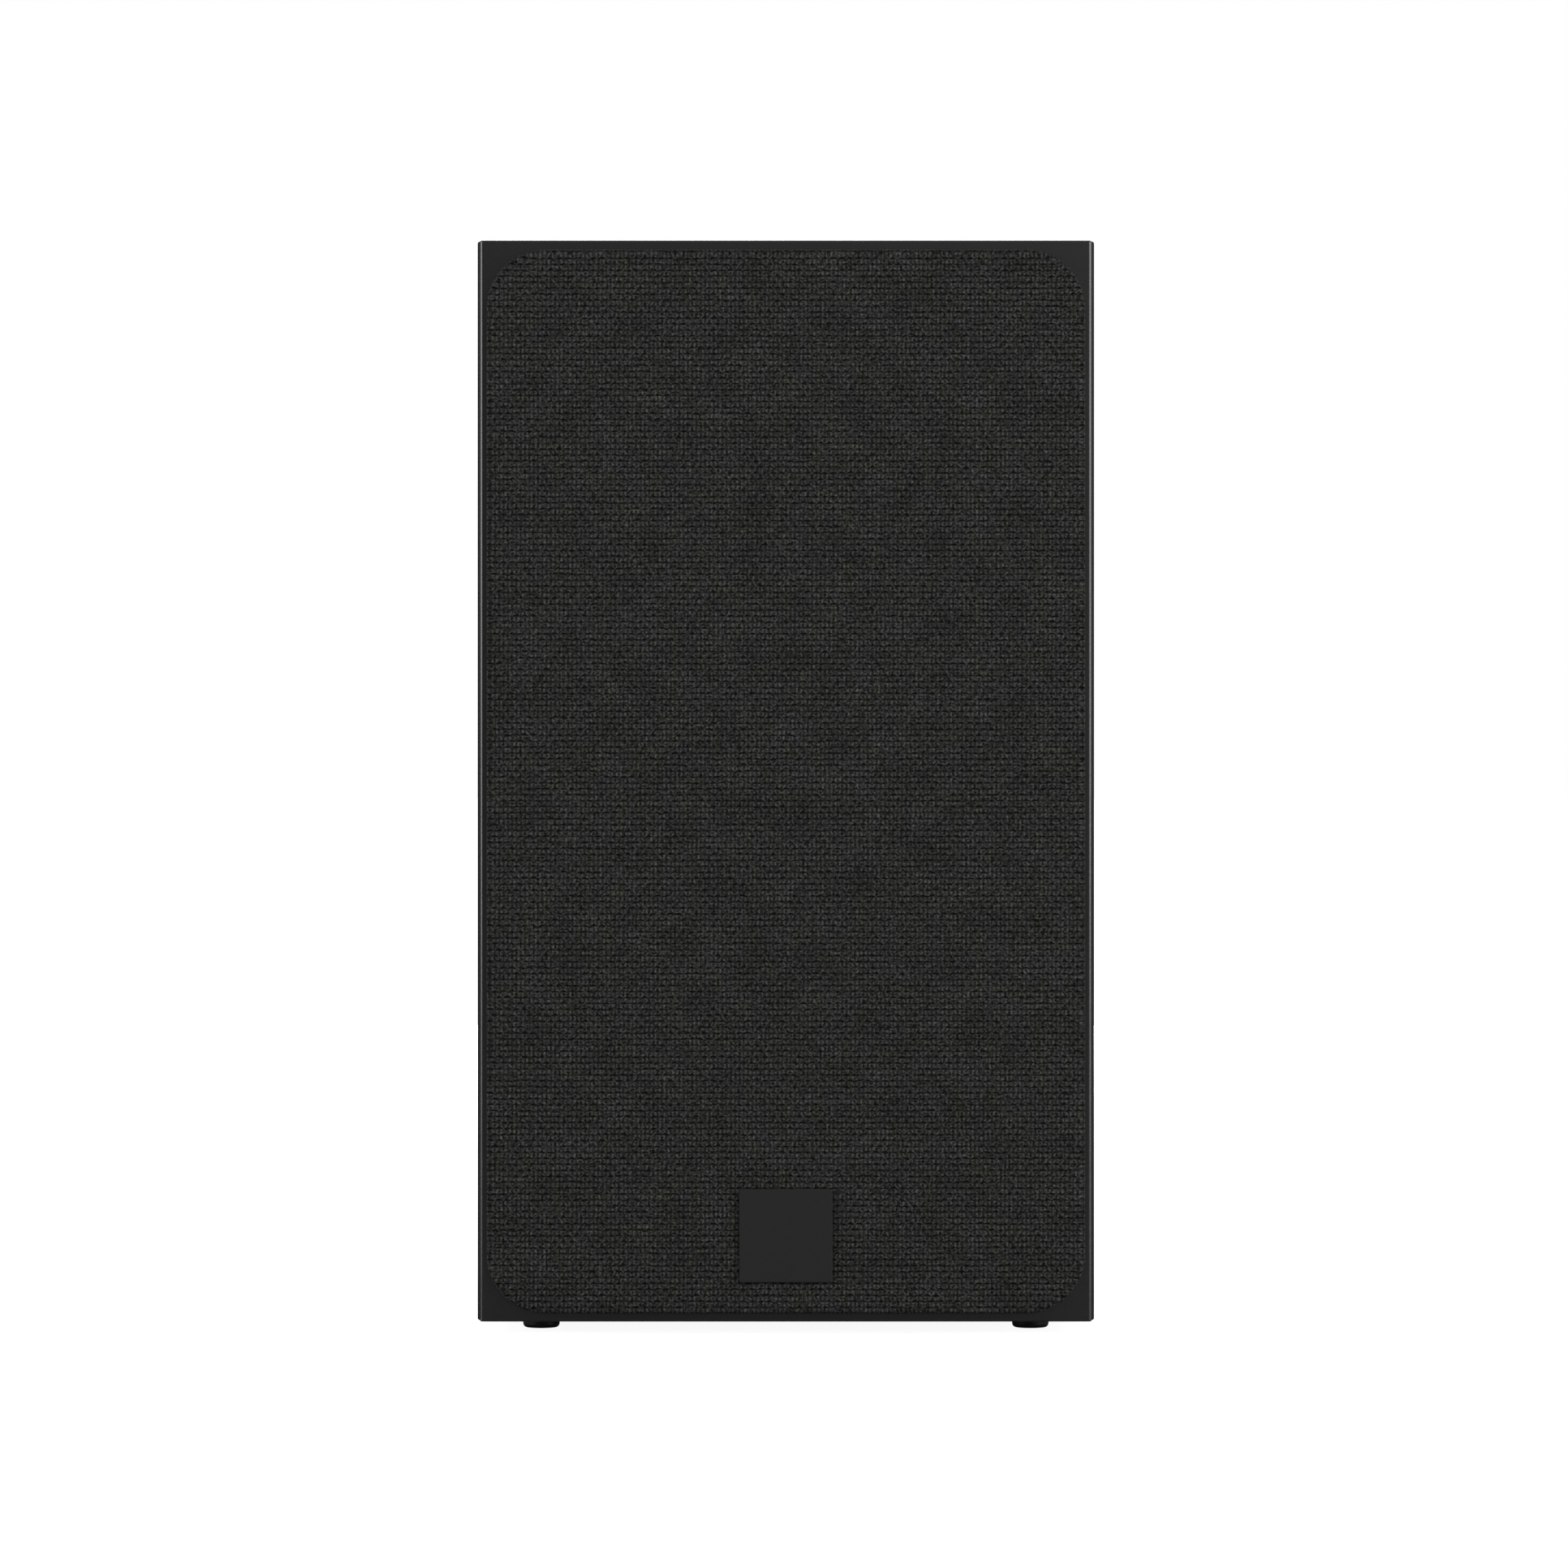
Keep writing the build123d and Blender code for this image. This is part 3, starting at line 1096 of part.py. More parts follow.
INDUCTOR_POINTS = [(-29.0, 14.0), (28.0, -18.0)]
BOBBIN_HEIGHT = 22.0
BOBBIN_FLANGE = 2.0
BOBBIN_RADIUS = 17.0
HUB_RADIUS = 8.0

with BuildPart() as inductor_bobbins:
    with BuildSketch(BOARD_PLANE):
        with Locations(*INDUCTOR_POINTS):
            Circle(HUB_RADIUS)
    extrude(amount=BOBBIN_HEIGHT)
    for base in (0, BOBBIN_HEIGHT - BOBBIN_FLANGE):
        with BuildSketch(BOARD_PLANE.offset(base)):
            with Locations(*INDUCTOR_POINTS):
                Circle(BOBBIN_RADIUS)
        extrude(amount=BOBBIN_FLANGE)
    with BuildSketch(BOARD_PLANE):
        with Locations(*INDUCTOR_POINTS):
            Circle(HUB_RADIUS / 2)
    extrude(amount=BOBBIN_HEIGHT, mode=Mode.SUBTRACT)
save(inductor_bobbins, "inductor_bobbins")

with BuildPart() as inductor_windings:
    with BuildSketch(BOARD_PLANE.offset(BOBBIN_FLANGE)):
        with Locations(*INDUCTOR_POINTS):
            Circle(BOBBIN_RADIUS - 1)
            Circle(HUB_RADIUS, mode=Mode.SUBTRACT)
    extrude(amount=BOBBIN_HEIGHT - 2 * BOBBIN_FLANGE)
save(inductor_windings, "inductor_windings")

# Each capacitor lies on the board: where, which way it lies, its radius and its length
CAPACITORS = [
    ((-30, -19), Vector(0, 1, 0), 9, 30),
    ((26, 12), Vector(1, 0, 0), 7, 32),
    ((26, 28), Vector(1, 0, 0), 6, 32),
]

with BuildPart() as crossover_capacitors:
    for (x, y), along, radius, length in CAPACITORS:
        middle = Vector(x, BOARD_Y + y, BOARD_TOP_Z + radius)
        with BuildSketch(Plane(middle, z_dir=along)):
            Circle(radius)
        extrude(amount=length / 2, both=True)
    chamfer(edges().filter_by(GeomType.CIRCLE), 0.8)
save(crossover_capacitors, "crossover_capacitors")

with BuildPart() as crossover_resistors:
    with BuildSketch(BOARD_PLANE):
        with Locations((0, -20), (0, 16)):
            Rectangle(9, 22)
    extrude(amount=9)
save(crossover_resistors, "crossover_resistors")


# Internal leads: straight runs joined by arcs as large as the runs allow
LEAD_RADIUS = 1.1


def bend_radii(points):
    """Radius of each corner of a route, from its shorter run and the angle that it turns by."""
    radii = []
    for before, here, after in zip(points, points[1:], points[2:]):
        run_in = Vector(here) - Vector(before)
        run_out = Vector(after) - Vector(here)
        turn = run_in.get_angle(run_out)
        radii.append(0.45 * min(run_in.length, run_out.length) / tan(radians(turn) / 2))
    return radii


def lead(points):
    """Adds one insulated wire along a route to the open part."""
    radii = bend_radii(points)
    print("lead bend radii", [round(r, 1) for r in radii])
    with BuildLine() as route:
        FilletPolyline(*points, radius=radii)
    with BuildSketch(Plane(route.line @ 0, z_dir=route.line % 0)) as wire:
        Circle(LEAD_RADIUS)
    sweep(wire.sketch, path=route.line)


with BuildPart() as internal_leads:
    for x, z in POST_POINTS:
        tail_y = CUP_BACK_Y - LEAD_RADIUS - 0.3
        tail_z = z - SOLDER_TAIL
        lead(
            [
                (x, tail_y, tail_z),
                (x, tail_y, tail_z - 16),
                (x, BOARD_Y + 37, tail_z - 36),
                (x, BOARD_Y + 37, BOARD_TOP_Z),
            ]
        )
    for x in (-TAG_SPACING / 2, TAG_SPACING / 2):
        tab_y = BAFFLE_Y + TAG_DEPTH + TAG_THICKNESS / 2
        tab_z = TAG_BOTTOM_Z - TAB_LENGTH
        lead(
            [
                (x, BOARD_Y - 36, BOARD_TOP_Z),
                (x, BOARD_Y - 36, BOARD_TOP_Z + 10),
                (x, BOARD_Y - 50, BOARD_TOP_Z + 18),
                (x, BOARD_Y - 80, BOARD_TOP_Z + 17),
                (x, BOARD_Y - 130, BOARD_TOP_Z + 12),
                (x, tab_y + 14, BOARD_TOP_Z + 10),
                (x, tab_y, tab_z - 10),
                (x, tab_y, tab_z),
            ]
        )
    for rise in (-TWEETER_TAG_SPACING / 2, TWEETER_TAG_SPACING / 2):
        start_x = -44 + rise / 2
        tab_y = BAFFLE_Y + TWEETER_TAG_DEPTH + TAG_THICKNESS / 2
        tab_z = TWEETER_Z + rise
        lead(
            [
                (start_x, BOARD_Y - 20, BOARD_TOP_Z),
                (start_x, BOARD_Y - 20, BOARD_TOP_Z + 26),
                (start_x - 6, BOARD_Y - 34, BOARD_TOP_Z + 70),
                (start_x - 11, BOARD_Y - 60, BOARD_TOP_Z + 118),
                (start_x - 12, BOARD_Y - 88, BOARD_TOP_Z + 164),
                (start_x - 15, BOARD_Y - 120, BOARD_TOP_Z + 200),
                (start_x - 18, BOARD_Y - 160, BOARD_TOP_Z + 226),
                (TWEETER_TAG_END_X - 20, tab_y + 12, tab_z - 3),
                (TWEETER_TAG_END_X - 10, tab_y, tab_z),
                (TWEETER_TAG_END_X, tab_y, tab_z),
            ]
        )
save(internal_leads, "internal_leads")
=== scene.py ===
"""Dresses a packed bookshelf loudspeaker: finishes, grille cloth, suspensions, hardware and stage."""

import json
import math

import bpy
import numpy as np
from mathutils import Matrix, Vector


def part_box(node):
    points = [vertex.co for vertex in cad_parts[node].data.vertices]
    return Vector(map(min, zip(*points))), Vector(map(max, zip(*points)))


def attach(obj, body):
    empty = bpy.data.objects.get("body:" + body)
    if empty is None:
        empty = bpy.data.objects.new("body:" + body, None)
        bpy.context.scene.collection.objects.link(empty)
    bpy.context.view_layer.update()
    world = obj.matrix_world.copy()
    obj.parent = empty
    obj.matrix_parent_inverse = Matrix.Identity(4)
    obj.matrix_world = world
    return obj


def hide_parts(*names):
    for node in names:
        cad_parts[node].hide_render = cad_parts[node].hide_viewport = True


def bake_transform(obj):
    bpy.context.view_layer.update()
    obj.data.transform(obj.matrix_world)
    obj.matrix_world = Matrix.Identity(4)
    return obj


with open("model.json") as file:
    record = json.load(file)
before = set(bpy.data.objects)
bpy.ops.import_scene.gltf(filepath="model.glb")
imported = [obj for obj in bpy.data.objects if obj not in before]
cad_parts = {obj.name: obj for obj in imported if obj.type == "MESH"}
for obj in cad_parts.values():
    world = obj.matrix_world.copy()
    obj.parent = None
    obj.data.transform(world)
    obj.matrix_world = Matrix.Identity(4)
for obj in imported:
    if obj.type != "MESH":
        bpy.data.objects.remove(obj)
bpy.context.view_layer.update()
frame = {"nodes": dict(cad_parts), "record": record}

bl_info = {
    "name": "Bookshelf loudspeaker dresser",
    "version": (1, 0, 0),
    "blender": (4, 5, 0),
    "location": "View3D > Sidebar > Speaker",
    "description": "Gives a packed loudspeaker its cloth, suspensions, finishes and studio",
    "category": "Object",
}

MM = 0.001
NODES = frame["nodes"]
SLOT_OF = {entry["node"]: entry["material_slot"] for entry in frame["record"]["subparts"]}

# Photograph frame
IMAGE_PIXELS = 1932
SENSOR_MM = 36.0
CABINET_PIXELS = 761.3
CABINET_CENTRE_PIXEL = (968.3, 962.4)


def middle(node):
    """Centre of a CAD node's box."""
    low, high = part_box(node)
    return (low + high) / 2


# Settings


class ClothSettings(bpy.types.PropertyGroup):
    """Grille cloth: how it is cut, wrapped and woven."""

    warp_pitch: bpy.props.FloatProperty(
        name="Warp pitch", description="Spacing of the upright yarns", default=1.38 * MM, unit="LENGTH"
    )
    weft_pitch: bpy.props.FloatProperty(
        name="Weft pitch", description="Spacing of the level yarns", default=1.92 * MM, unit="LENGTH"
    )
    corner_radius: bpy.props.FloatProperty(
        name="Corner radius", description="Corner radius of the grille", default=19.0 * MM, unit="LENGTH"
    )
    edge_radius: bpy.props.FloatProperty(
        name="Edge radius", description="Rounding where the cloth turns back", default=1.6 * MM, unit="LENGTH"
    )
    thickness: bpy.props.FloatProperty(
        name="Thickness", description="Thickness of the cloth", default=0.6 * MM, unit="LENGTH"
    )
    hem: bpy.props.FloatProperty(
        name="Hem", description="Width turned in behind the frame", default=6.8 * MM, unit="LENGTH"
    )
    # The gap colour is painted shade, deep between the yarns.
    dark: bpy.props.StringProperty(
        name="Gap colour", description="Colour deep in the weave, as sRGB hex", default="020202"
    )
    cool: bpy.props.StringProperty(
        name="Cool yarn", description="Colour of the greyer yarn, as sRGB hex", default="303030"
    )
    warm: bpy.props.StringProperty(
        name="Warm yarn", description="Colour of the browner yarn, as sRGB hex", default="30302d"
    )


class CabinetSettings(bpy.types.PropertyGroup):
    """Cabinet finishes."""

    paint: bpy.props.StringProperty(
        name="Lacquer", description="Satin lacquer of the baffle, as sRGB hex", default="0a0a0a"
    )
    vinyl: bpy.props.StringProperty(
        name="Vinyl", description="Ash-grain wrap of the sleeve, as sRGB hex", default="1c1b1a"
    )
    pore: bpy.props.StringProperty(
        name="Pore", description="Open pores of the grain, as sRGB hex", default="0b0b0b"
    )
    rubber: bpy.props.StringProperty(
        name="Rubber", description="Feet and peg sockets, as sRGB hex", default="141414"
    )


class StudioSettings(bpy.types.PropertyGroup):
    """Camera and light."""

    distance: bpy.props.FloatProperty(
        name="Distance", description="Camera to the baffle's face", default=2.5, unit="LENGTH"
    )
    camera_rise: bpy.props.FloatProperty(
        name="Camera rise", description="Camera above the cabinet's middle", default=0.03, unit="LENGTH"
    )
    lamp_power: bpy.props.FloatProperty(
        name="Lamp power", description="Power of a softbox with a share of one", default=30.0, unit="POWER"
    )
    ambient: bpy.props.FloatProperty(
        name="Ambient", description="Even light from all round", default=0.45
    )
    room: bpy.props.FloatProperty(
        name="Room", description="Brightness mirrored from behind the camera", default=0.35
    )


# Node helpers


def linear(code):
    """Turns an sRGB hex colour into linear RGBA."""
    parts = [int(code[k : k + 2], 16) / 255 for k in (0, 2, 4)]
    return (*[p / 12.92 if p <= 0.04045 else ((p + 0.055) / 1.055) ** 2.4 for p in parts], 1.0)


def add_node(tree, kind, inputs=None, **settings):
    """Adds a node, sets its properties, and sets or links its inputs by name or place."""
    node = tree.nodes.new(kind)
    for key, value in settings.items():
        setattr(node, key, value)
    for key, value in (inputs or {}).items():
        if isinstance(value, bpy.types.NodeSocket):
            tree.links.new(value, node.inputs[key])
        else:
            node.inputs[key].default_value = value
    return node


def new_material(name):
    """An empty material and its node tree."""
    material = bpy.data.materials.new(name)
    material.use_nodes = True
    material.node_tree.nodes.clear()
    return material, material.node_tree


# Finishes


def grained(name, deep, pale, grain_mm, roughness, relief_mm, contrast=(0.3, 0.7), **sockets):
    """A finish whose tone, shine and relief follow one noise, with grains of given lengths along X, Y and Z.

    Roughness runs from the deep tone's to the pale tone's. Keywords set the shader's other sockets.
    """
    material, tree = new_material(name)
    place = add_node(tree, "ShaderNodeTexCoord").outputs["Object"]
    scale = [1 / (MM * length) for length in grain_mm]
    scaled = add_node(tree, "ShaderNodeMapping", {"Vector": place, "Scale": scale}).outputs[0]
    noise = {"Vector": scaled, "Scale": 1.0, "Detail": 4.0}
    grain = add_node(tree, "ShaderNodeTexNoise", noise).outputs[0]
    limits = {"Value": grain, "From Min": contrast[0], "From Max": contrast[1]}
    tone = add_node(tree, "ShaderNodeMapRange", limits).outputs[0]
    colours = {0: tone, 6: linear(deep), 7: linear(pale)}
    colour = add_node(tree, "ShaderNodeMix", colours, data_type="RGBA").outputs[2]
    limits.update({"To Min": roughness[0], "To Max": roughness[1]})
    shine = add_node(tree, "ShaderNodeMapRange", limits).outputs[0]
    relief = {"Height": tone, "Distance": relief_mm * MM, "Strength": 0.6}
    bump = add_node(tree, "ShaderNodeBump", relief).outputs[0]
    look = {"Base Color": colour, "Roughness": shine, "Normal": bump}
    look.update({key.replace("_", " "): value for key, value in sockets.items()})
    surface = add_node(tree, "ShaderNodeBsdfPrincipled", look).outputs[0]
    add_node(tree, "ShaderNodeOutputMaterial", {"Surface": surface})
    return material


# Distance between a wave texture's bands at a scale of one.
WAVE_PERIOD = 0.31


def wound_wire(name, gap_shade, crest, wire_mm):
    """Lacquered copper wire laid in turns: bands a wire apart carry a painted glint on their crests and
    painted shade between the turns.
    """
    material, tree = new_material(name)
    place = add_node(tree, "ShaderNodeTexCoord").outputs["Object"]
    turns = {"Vector": place, "Scale": WAVE_PERIOD / (MM * wire_mm), "Distortion": 0.3}
    bands = add_node(tree, "ShaderNodeTexWave", turns, bands_direction="DIAGONAL").outputs[1]
    # The crest colour is a painted highlight and the gap colour is painted shade between the turns.
    colours = {0: bands, 6: linear(gap_shade), 7: linear(crest)}
    colour = add_node(tree, "ShaderNodeMix", colours, data_type="RGBA").outputs[2]
    bump = add_node(tree, "ShaderNodeBump", {"Height": bands, "Distance": wire_mm * MM / 2}).outputs[0]
    look = {"Base Color": colour, "Normal": bump, "Metallic": 1.0, "Roughness": 0.32}
    surface = add_node(tree, "ShaderNodeBsdfPrincipled", look).outputs[0]
    add_node(tree, "ShaderNodeOutputMaterial", {"Surface": surface})
    return material


def weave(tree, flat, cloth):
    """Two factors of a plain weave: one in the gaps and nought on the yarns, and the painted shading that
    makes each yarn paler along its middle.

    Each level yarn arches over every second upright one. A dark arc lies along the top of each arch, a gap
    between the yarns coloured as painted shadow, and the upright yarns cross the rows between the arches, one
    place further on in each row.
    """
    slub = {"Vector": flat, "Scale": 1 / (4.0 * MM), "Detail": 2.0}
    wander = add_node(tree, "ShaderNodeTexNoise", slub)
    push = {0: wander.outputs[1], 1: (0.7 * MM, 0.7 * MM, 0), 2: flat}
    pushed = add_node(tree, "ShaderNodeVectorMath", push, operation="MULTIPLY_ADD").outputs[0]
    pitches = {0: pushed, 1: (cloth.warp_pitch, cloth.weft_pitch, 1)}
    counted = add_node(tree, "ShaderNodeVectorMath", pitches, operation="DIVIDE").outputs[0]
    cell = add_node(tree, "ShaderNodeSeparateXYZ", {0: counted})
    row = add_node(tree, "ShaderNodeMath", {0: cell.outputs["Y"]}, operation="FLOOR").outputs[0]
    height = add_node(tree, "ShaderNodeMath", {0: cell.outputs["Y"]}, operation="FRACT").outputs[0]
    stepped = add_node(tree, "ShaderNodeMath", {0: cell.outputs["X"], 1: row}, operation="ADD").outputs[0]
    aside = add_node(tree, "ShaderNodeMath", {0: stepped, 1: 1.0}, operation="PINGPONG").outputs[0]
    squared = add_node(tree, "ShaderNodeMath", {0: aside, 1: 2.0}, operation="POWER").outputs[0]
    arch = {0: squared, 1: 0.24, 2: height}
    arched = add_node(tree, "ShaderNodeMath", arch, operation="MULTIPLY_ADD").outputs[0]
    # The gap and its painted shade start and end across the arc, fade at the arch's feet, and are fainter
    # where yarn is thick.
    gap_shade = 1.0
    for value, start, end, low, high in (
        (arched, 0.58, 0.80, 0, 1),
        (arched, 0.88, 1.06, 1, 0),
        (aside, 0.55, 0.95, 1, 0),
        (wander.outputs[0], 0.35, 0.6, 0.65, 1),
    ):
        limits = {"Value": value, "From Min": start, "From Max": end, "To Min": low, "To Max": high}
        part = add_node(tree, "ShaderNodeMapRange", limits, interpolation_type="SMOOTHSTEP").outputs[0]
        gap_shade = add_node(tree, "ShaderNodeMath", {0: part, 1: gap_shade}, operation="MULTIPLY").outputs[0]
    # Painted shading: each upright yarn is paler along its middle and darker where it meets the next.
    half = {0: cell.outputs["X"], 1: 0.5}
    between = add_node(tree, "ShaderNodeMath", half, operation="PINGPONG").outputs[0]
    limits = {"Value": between, "From Min": 0.0, "From Max": 0.5, "To Min": 0.56, "To Max": 1.44}
    yarn_shade = add_node(tree, "ShaderNodeMapRange", limits, interpolation_type="SMOOTHSTEP").outputs[0]
    return gap_shade, yarn_shade


def woven_cloth(name, cloth):
    """Plain-woven polyester melange: grey yarn with pale flecks, painted shading across each yarn, short dark
    gaps of painted shade and almost no shine.
    """
    material, tree = new_material(name)
    flat = add_node(tree, "ShaderNodeUVMap", uv_map="Cut").outputs[0]
    gap_shade, shade_and_flecks = weave(tree, flat, cloth)
    # Fibres of mixed greys, one or two to a yarn's width, and broad shades where the yarn's dye varies.
    for length_mm, low, high in ((0.7, 0.0, 2.0), (1.6, 0.58, 1.42), (12.0, 0.82, 1.18)):
        mottle = {"Vector": flat, "Scale": 1 / (length_mm * MM), "Detail": 2.0}
        speckle = add_node(tree, "ShaderNodeTexNoise", mottle).outputs[0]
        limits = {"Value": speckle, "From Min": 0.3, "From Max": 0.7, "To Min": low, "To Max": high}
        factor = add_node(tree, "ShaderNodeMapRange", limits, clamp=False).outputs[0]
        flecked = {0: shade_and_flecks, 1: factor}
        shade_and_flecks = add_node(tree, "ShaderNodeMath", flecked, operation="MULTIPLY").outputs[0]
    # Two dye lots of yarn run up the cloth in broken streaks.
    streak = {0: flat, 1: (1 / (7.0 * MM), 1 / (11.0 * MM), 0)}
    streaks = add_node(tree, "ShaderNodeVectorMath", streak, operation="MULTIPLY").outputs[0]
    noise = {"Vector": streaks, "Scale": 1.0, "Detail": 3.0}
    lots = add_node(tree, "ShaderNodeTexNoise", noise).outputs[0]
    limits = {"Value": lots, "From Min": 0.42, "From Max": 0.58}
    share = add_node(tree, "ShaderNodeMapRange", limits).outputs[0]
    dyes = {0: share, 6: linear(cloth.cool), 7: linear(cloth.warm)}
    dyed = add_node(tree, "ShaderNodeMix", dyes, data_type="RGBA").outputs[2]
    # The yarn's colour is scaled by its painted shading and by its real flecks.
    shaded = {0: dyed, "Scale": shade_and_flecks}
    yarn = add_node(tree, "ShaderNodeVectorMath", shaded, operation="SCALE").outputs[0]
    # Gaps between the yarns take the gap colour, which is painted shade.
    mixed = {0: gap_shade, 6: yarn, 7: linear(cloth.dark)}
    colour = add_node(tree, "ShaderNodeMix", mixed, data_type="RGBA").outputs[2]
    height = add_node(tree, "ShaderNodeMath", {0: shade_and_flecks, 1: gap_shade}, operation="SUBTRACT").outputs[0]
    relief = {"Height": height, "Distance": 0.1 * MM, "Strength": 0.6}
    bump = add_node(tree, "ShaderNodeBump", relief).outputs[0]
    look = {"Base Color": colour, "Normal": bump, "Roughness": 0.9, "Specular IOR Level": 0.06}
    surface = add_node(tree, "ShaderNodeBsdfPrincipled", look).outputs[0]
    add_node(tree, "ShaderNodeOutputMaterial", {"Surface": surface})
    return material


def cabinet_finishes(cabinet):
    """Finishes of the cabinet's panels and soft fittings, by slot."""
    ash = {"deep": cabinet.pore, "pale": cabinet.vinyl, "roughness": (0.62, 0.46), "relief_mm": 0.08}
    ash.update(contrast=(0.38, 0.5), Specular_IOR_Level=0.22)
    dull = {"roughness": (0.58, 0.72), "relief_mm": 0.03, "Specular_IOR_Level": 0.2, "IOR": 1.52}
    return {
        # Black ash vinyl: embossed pores run with the grain, darker than the face, under a low sheen.
        "vinyl_wrap": grained("Ash vinyl, grain front to back", grain_mm=(0.7, 16, 0.7), **ash),
        "rear_vinyl": grained("Ash vinyl, upright grain", grain_mm=(0.7, 0.7, 16), **ash),
        # Satin lacquer on fibreboard: smooth, so the rounded edges catch a thin bright line.
        "baffle_paint": grained(
            "Satin black lacquer",
            deep="060606",
            pale=cabinet.paint,
            grain_mm=(1.1, 1.1, 1.1),
            roughness=(0.255, 0.275),
            relief_mm=0.002,
            Specular_IOR_Level=0.6,
        ),
        # Bare fibreboard: brown, with a felted grain.
        "raw_board": grained("Bare fibreboard", "6b5238", "8a6d4c", (1.2, 1.2, 1.2), (0.75, 0.85), 0.05),
        # Loose polyester wadding: white tangled fibre with soft hollows.
        "wadding": grained(
            "Polyester wadding", "b9b7b0", "ecebe6", (0.8, 6, 3), (0.9, 1.0), 0.6, Specular_IOR_Level=0.05
        ),
        # Moulded rubber and foam: dull black, dusty in patches.
        "foot_rubber": grained(
            "Foot rubber", "0d0d0d", cabinet.rubber, (3, 3, 3), (0.36, 0.44), 0.02, Specular_IOR_Level=0.5
        ),
        "socket_rubber": grained("Socket rubber", "0d0d0d", cabinet.rubber, (3, 3, 3), **dull),
        "gasket_foam": grained("Gasket foam", "0f0f0f", "1c1c1c", (1.5, 1.5, 1.5), **dull),
        "lead_sleeve": grained("Vinyl lead sleeve", "101010", "181818", (3, 3, 3), **dull),
    }


def moulded_finishes():
    """Finishes of the moulded plastics, by slot. Spark-eroded grit breaks up their shine."""
    grit = {"relief_mm": 0.03, "Specular_IOR_Level": 0.25}
    gloss = {"grain_mm": (2, 2, 2), "relief_mm": 0.01, "Specular_IOR_Level": 0.4}
    fine, coarse, waxy = (0.6, 0.6, 0.6), (0.7, 0.7, 0.7), (0.8, 0.8, 0.8)
    return {
        "frame_plastic": grained("Grille frame ABS", "141414", "1a1a1a", fine, (0.5, 0.6), **grit),
        "trim_plastic": grained("Trim ring ABS", "121212", "171717", (0.5, 0.5, 0.5), (0.38, 0.48), **grit),
        "chamber_plastic": grained("Rear chamber ABS", "131313", "181818", coarse, (0.5, 0.6), **grit),
        "port_plastic": grained("Port ABS", "141414", "1a1a1a", fine, (0.45, 0.56), **grit),
        "cup_plastic": grained("Terminal cup ABS", "141414", "1a1a1a", coarse, (0.46, 0.58), **grit),
        "bobbin_plastic": grained("Bobbin nylon", "171717", "1e1e1e", waxy, (0.45, 0.55), **grit),
        "nylon": grained("Natural nylon", "c9c6b6", "dcd9cb", waxy, (0.4, 0.5), **grit),
        # Tinted acrylic of the caps: clean colour under a clear gloss.
        "red_plastic": grained("Red acrylic", "8a0f10", "a01414", roughness=(0.26, 0.34), **gloss),
        "black_plastic": grained("Black acrylic", "101010", "151515", roughness=(0.26, 0.34), **gloss),
        "capacitor_film": grained("Yellow polyester film", "b88a14", "cfa224", roughness=(0.3, 0.4), **gloss),
        # Satin grey badge: an even tone with hardly any shine.
        "badge_metal": grained(
            "Badge, satin grey ABS",
            deep="252525",
            pale="292929",
            grain_mm=(0.4, 0.4, 0.4),
            roughness=(0.38, 0.44),
            relief_mm=0.004,
            Specular_IOR_Level=0.1,
        ),
    }


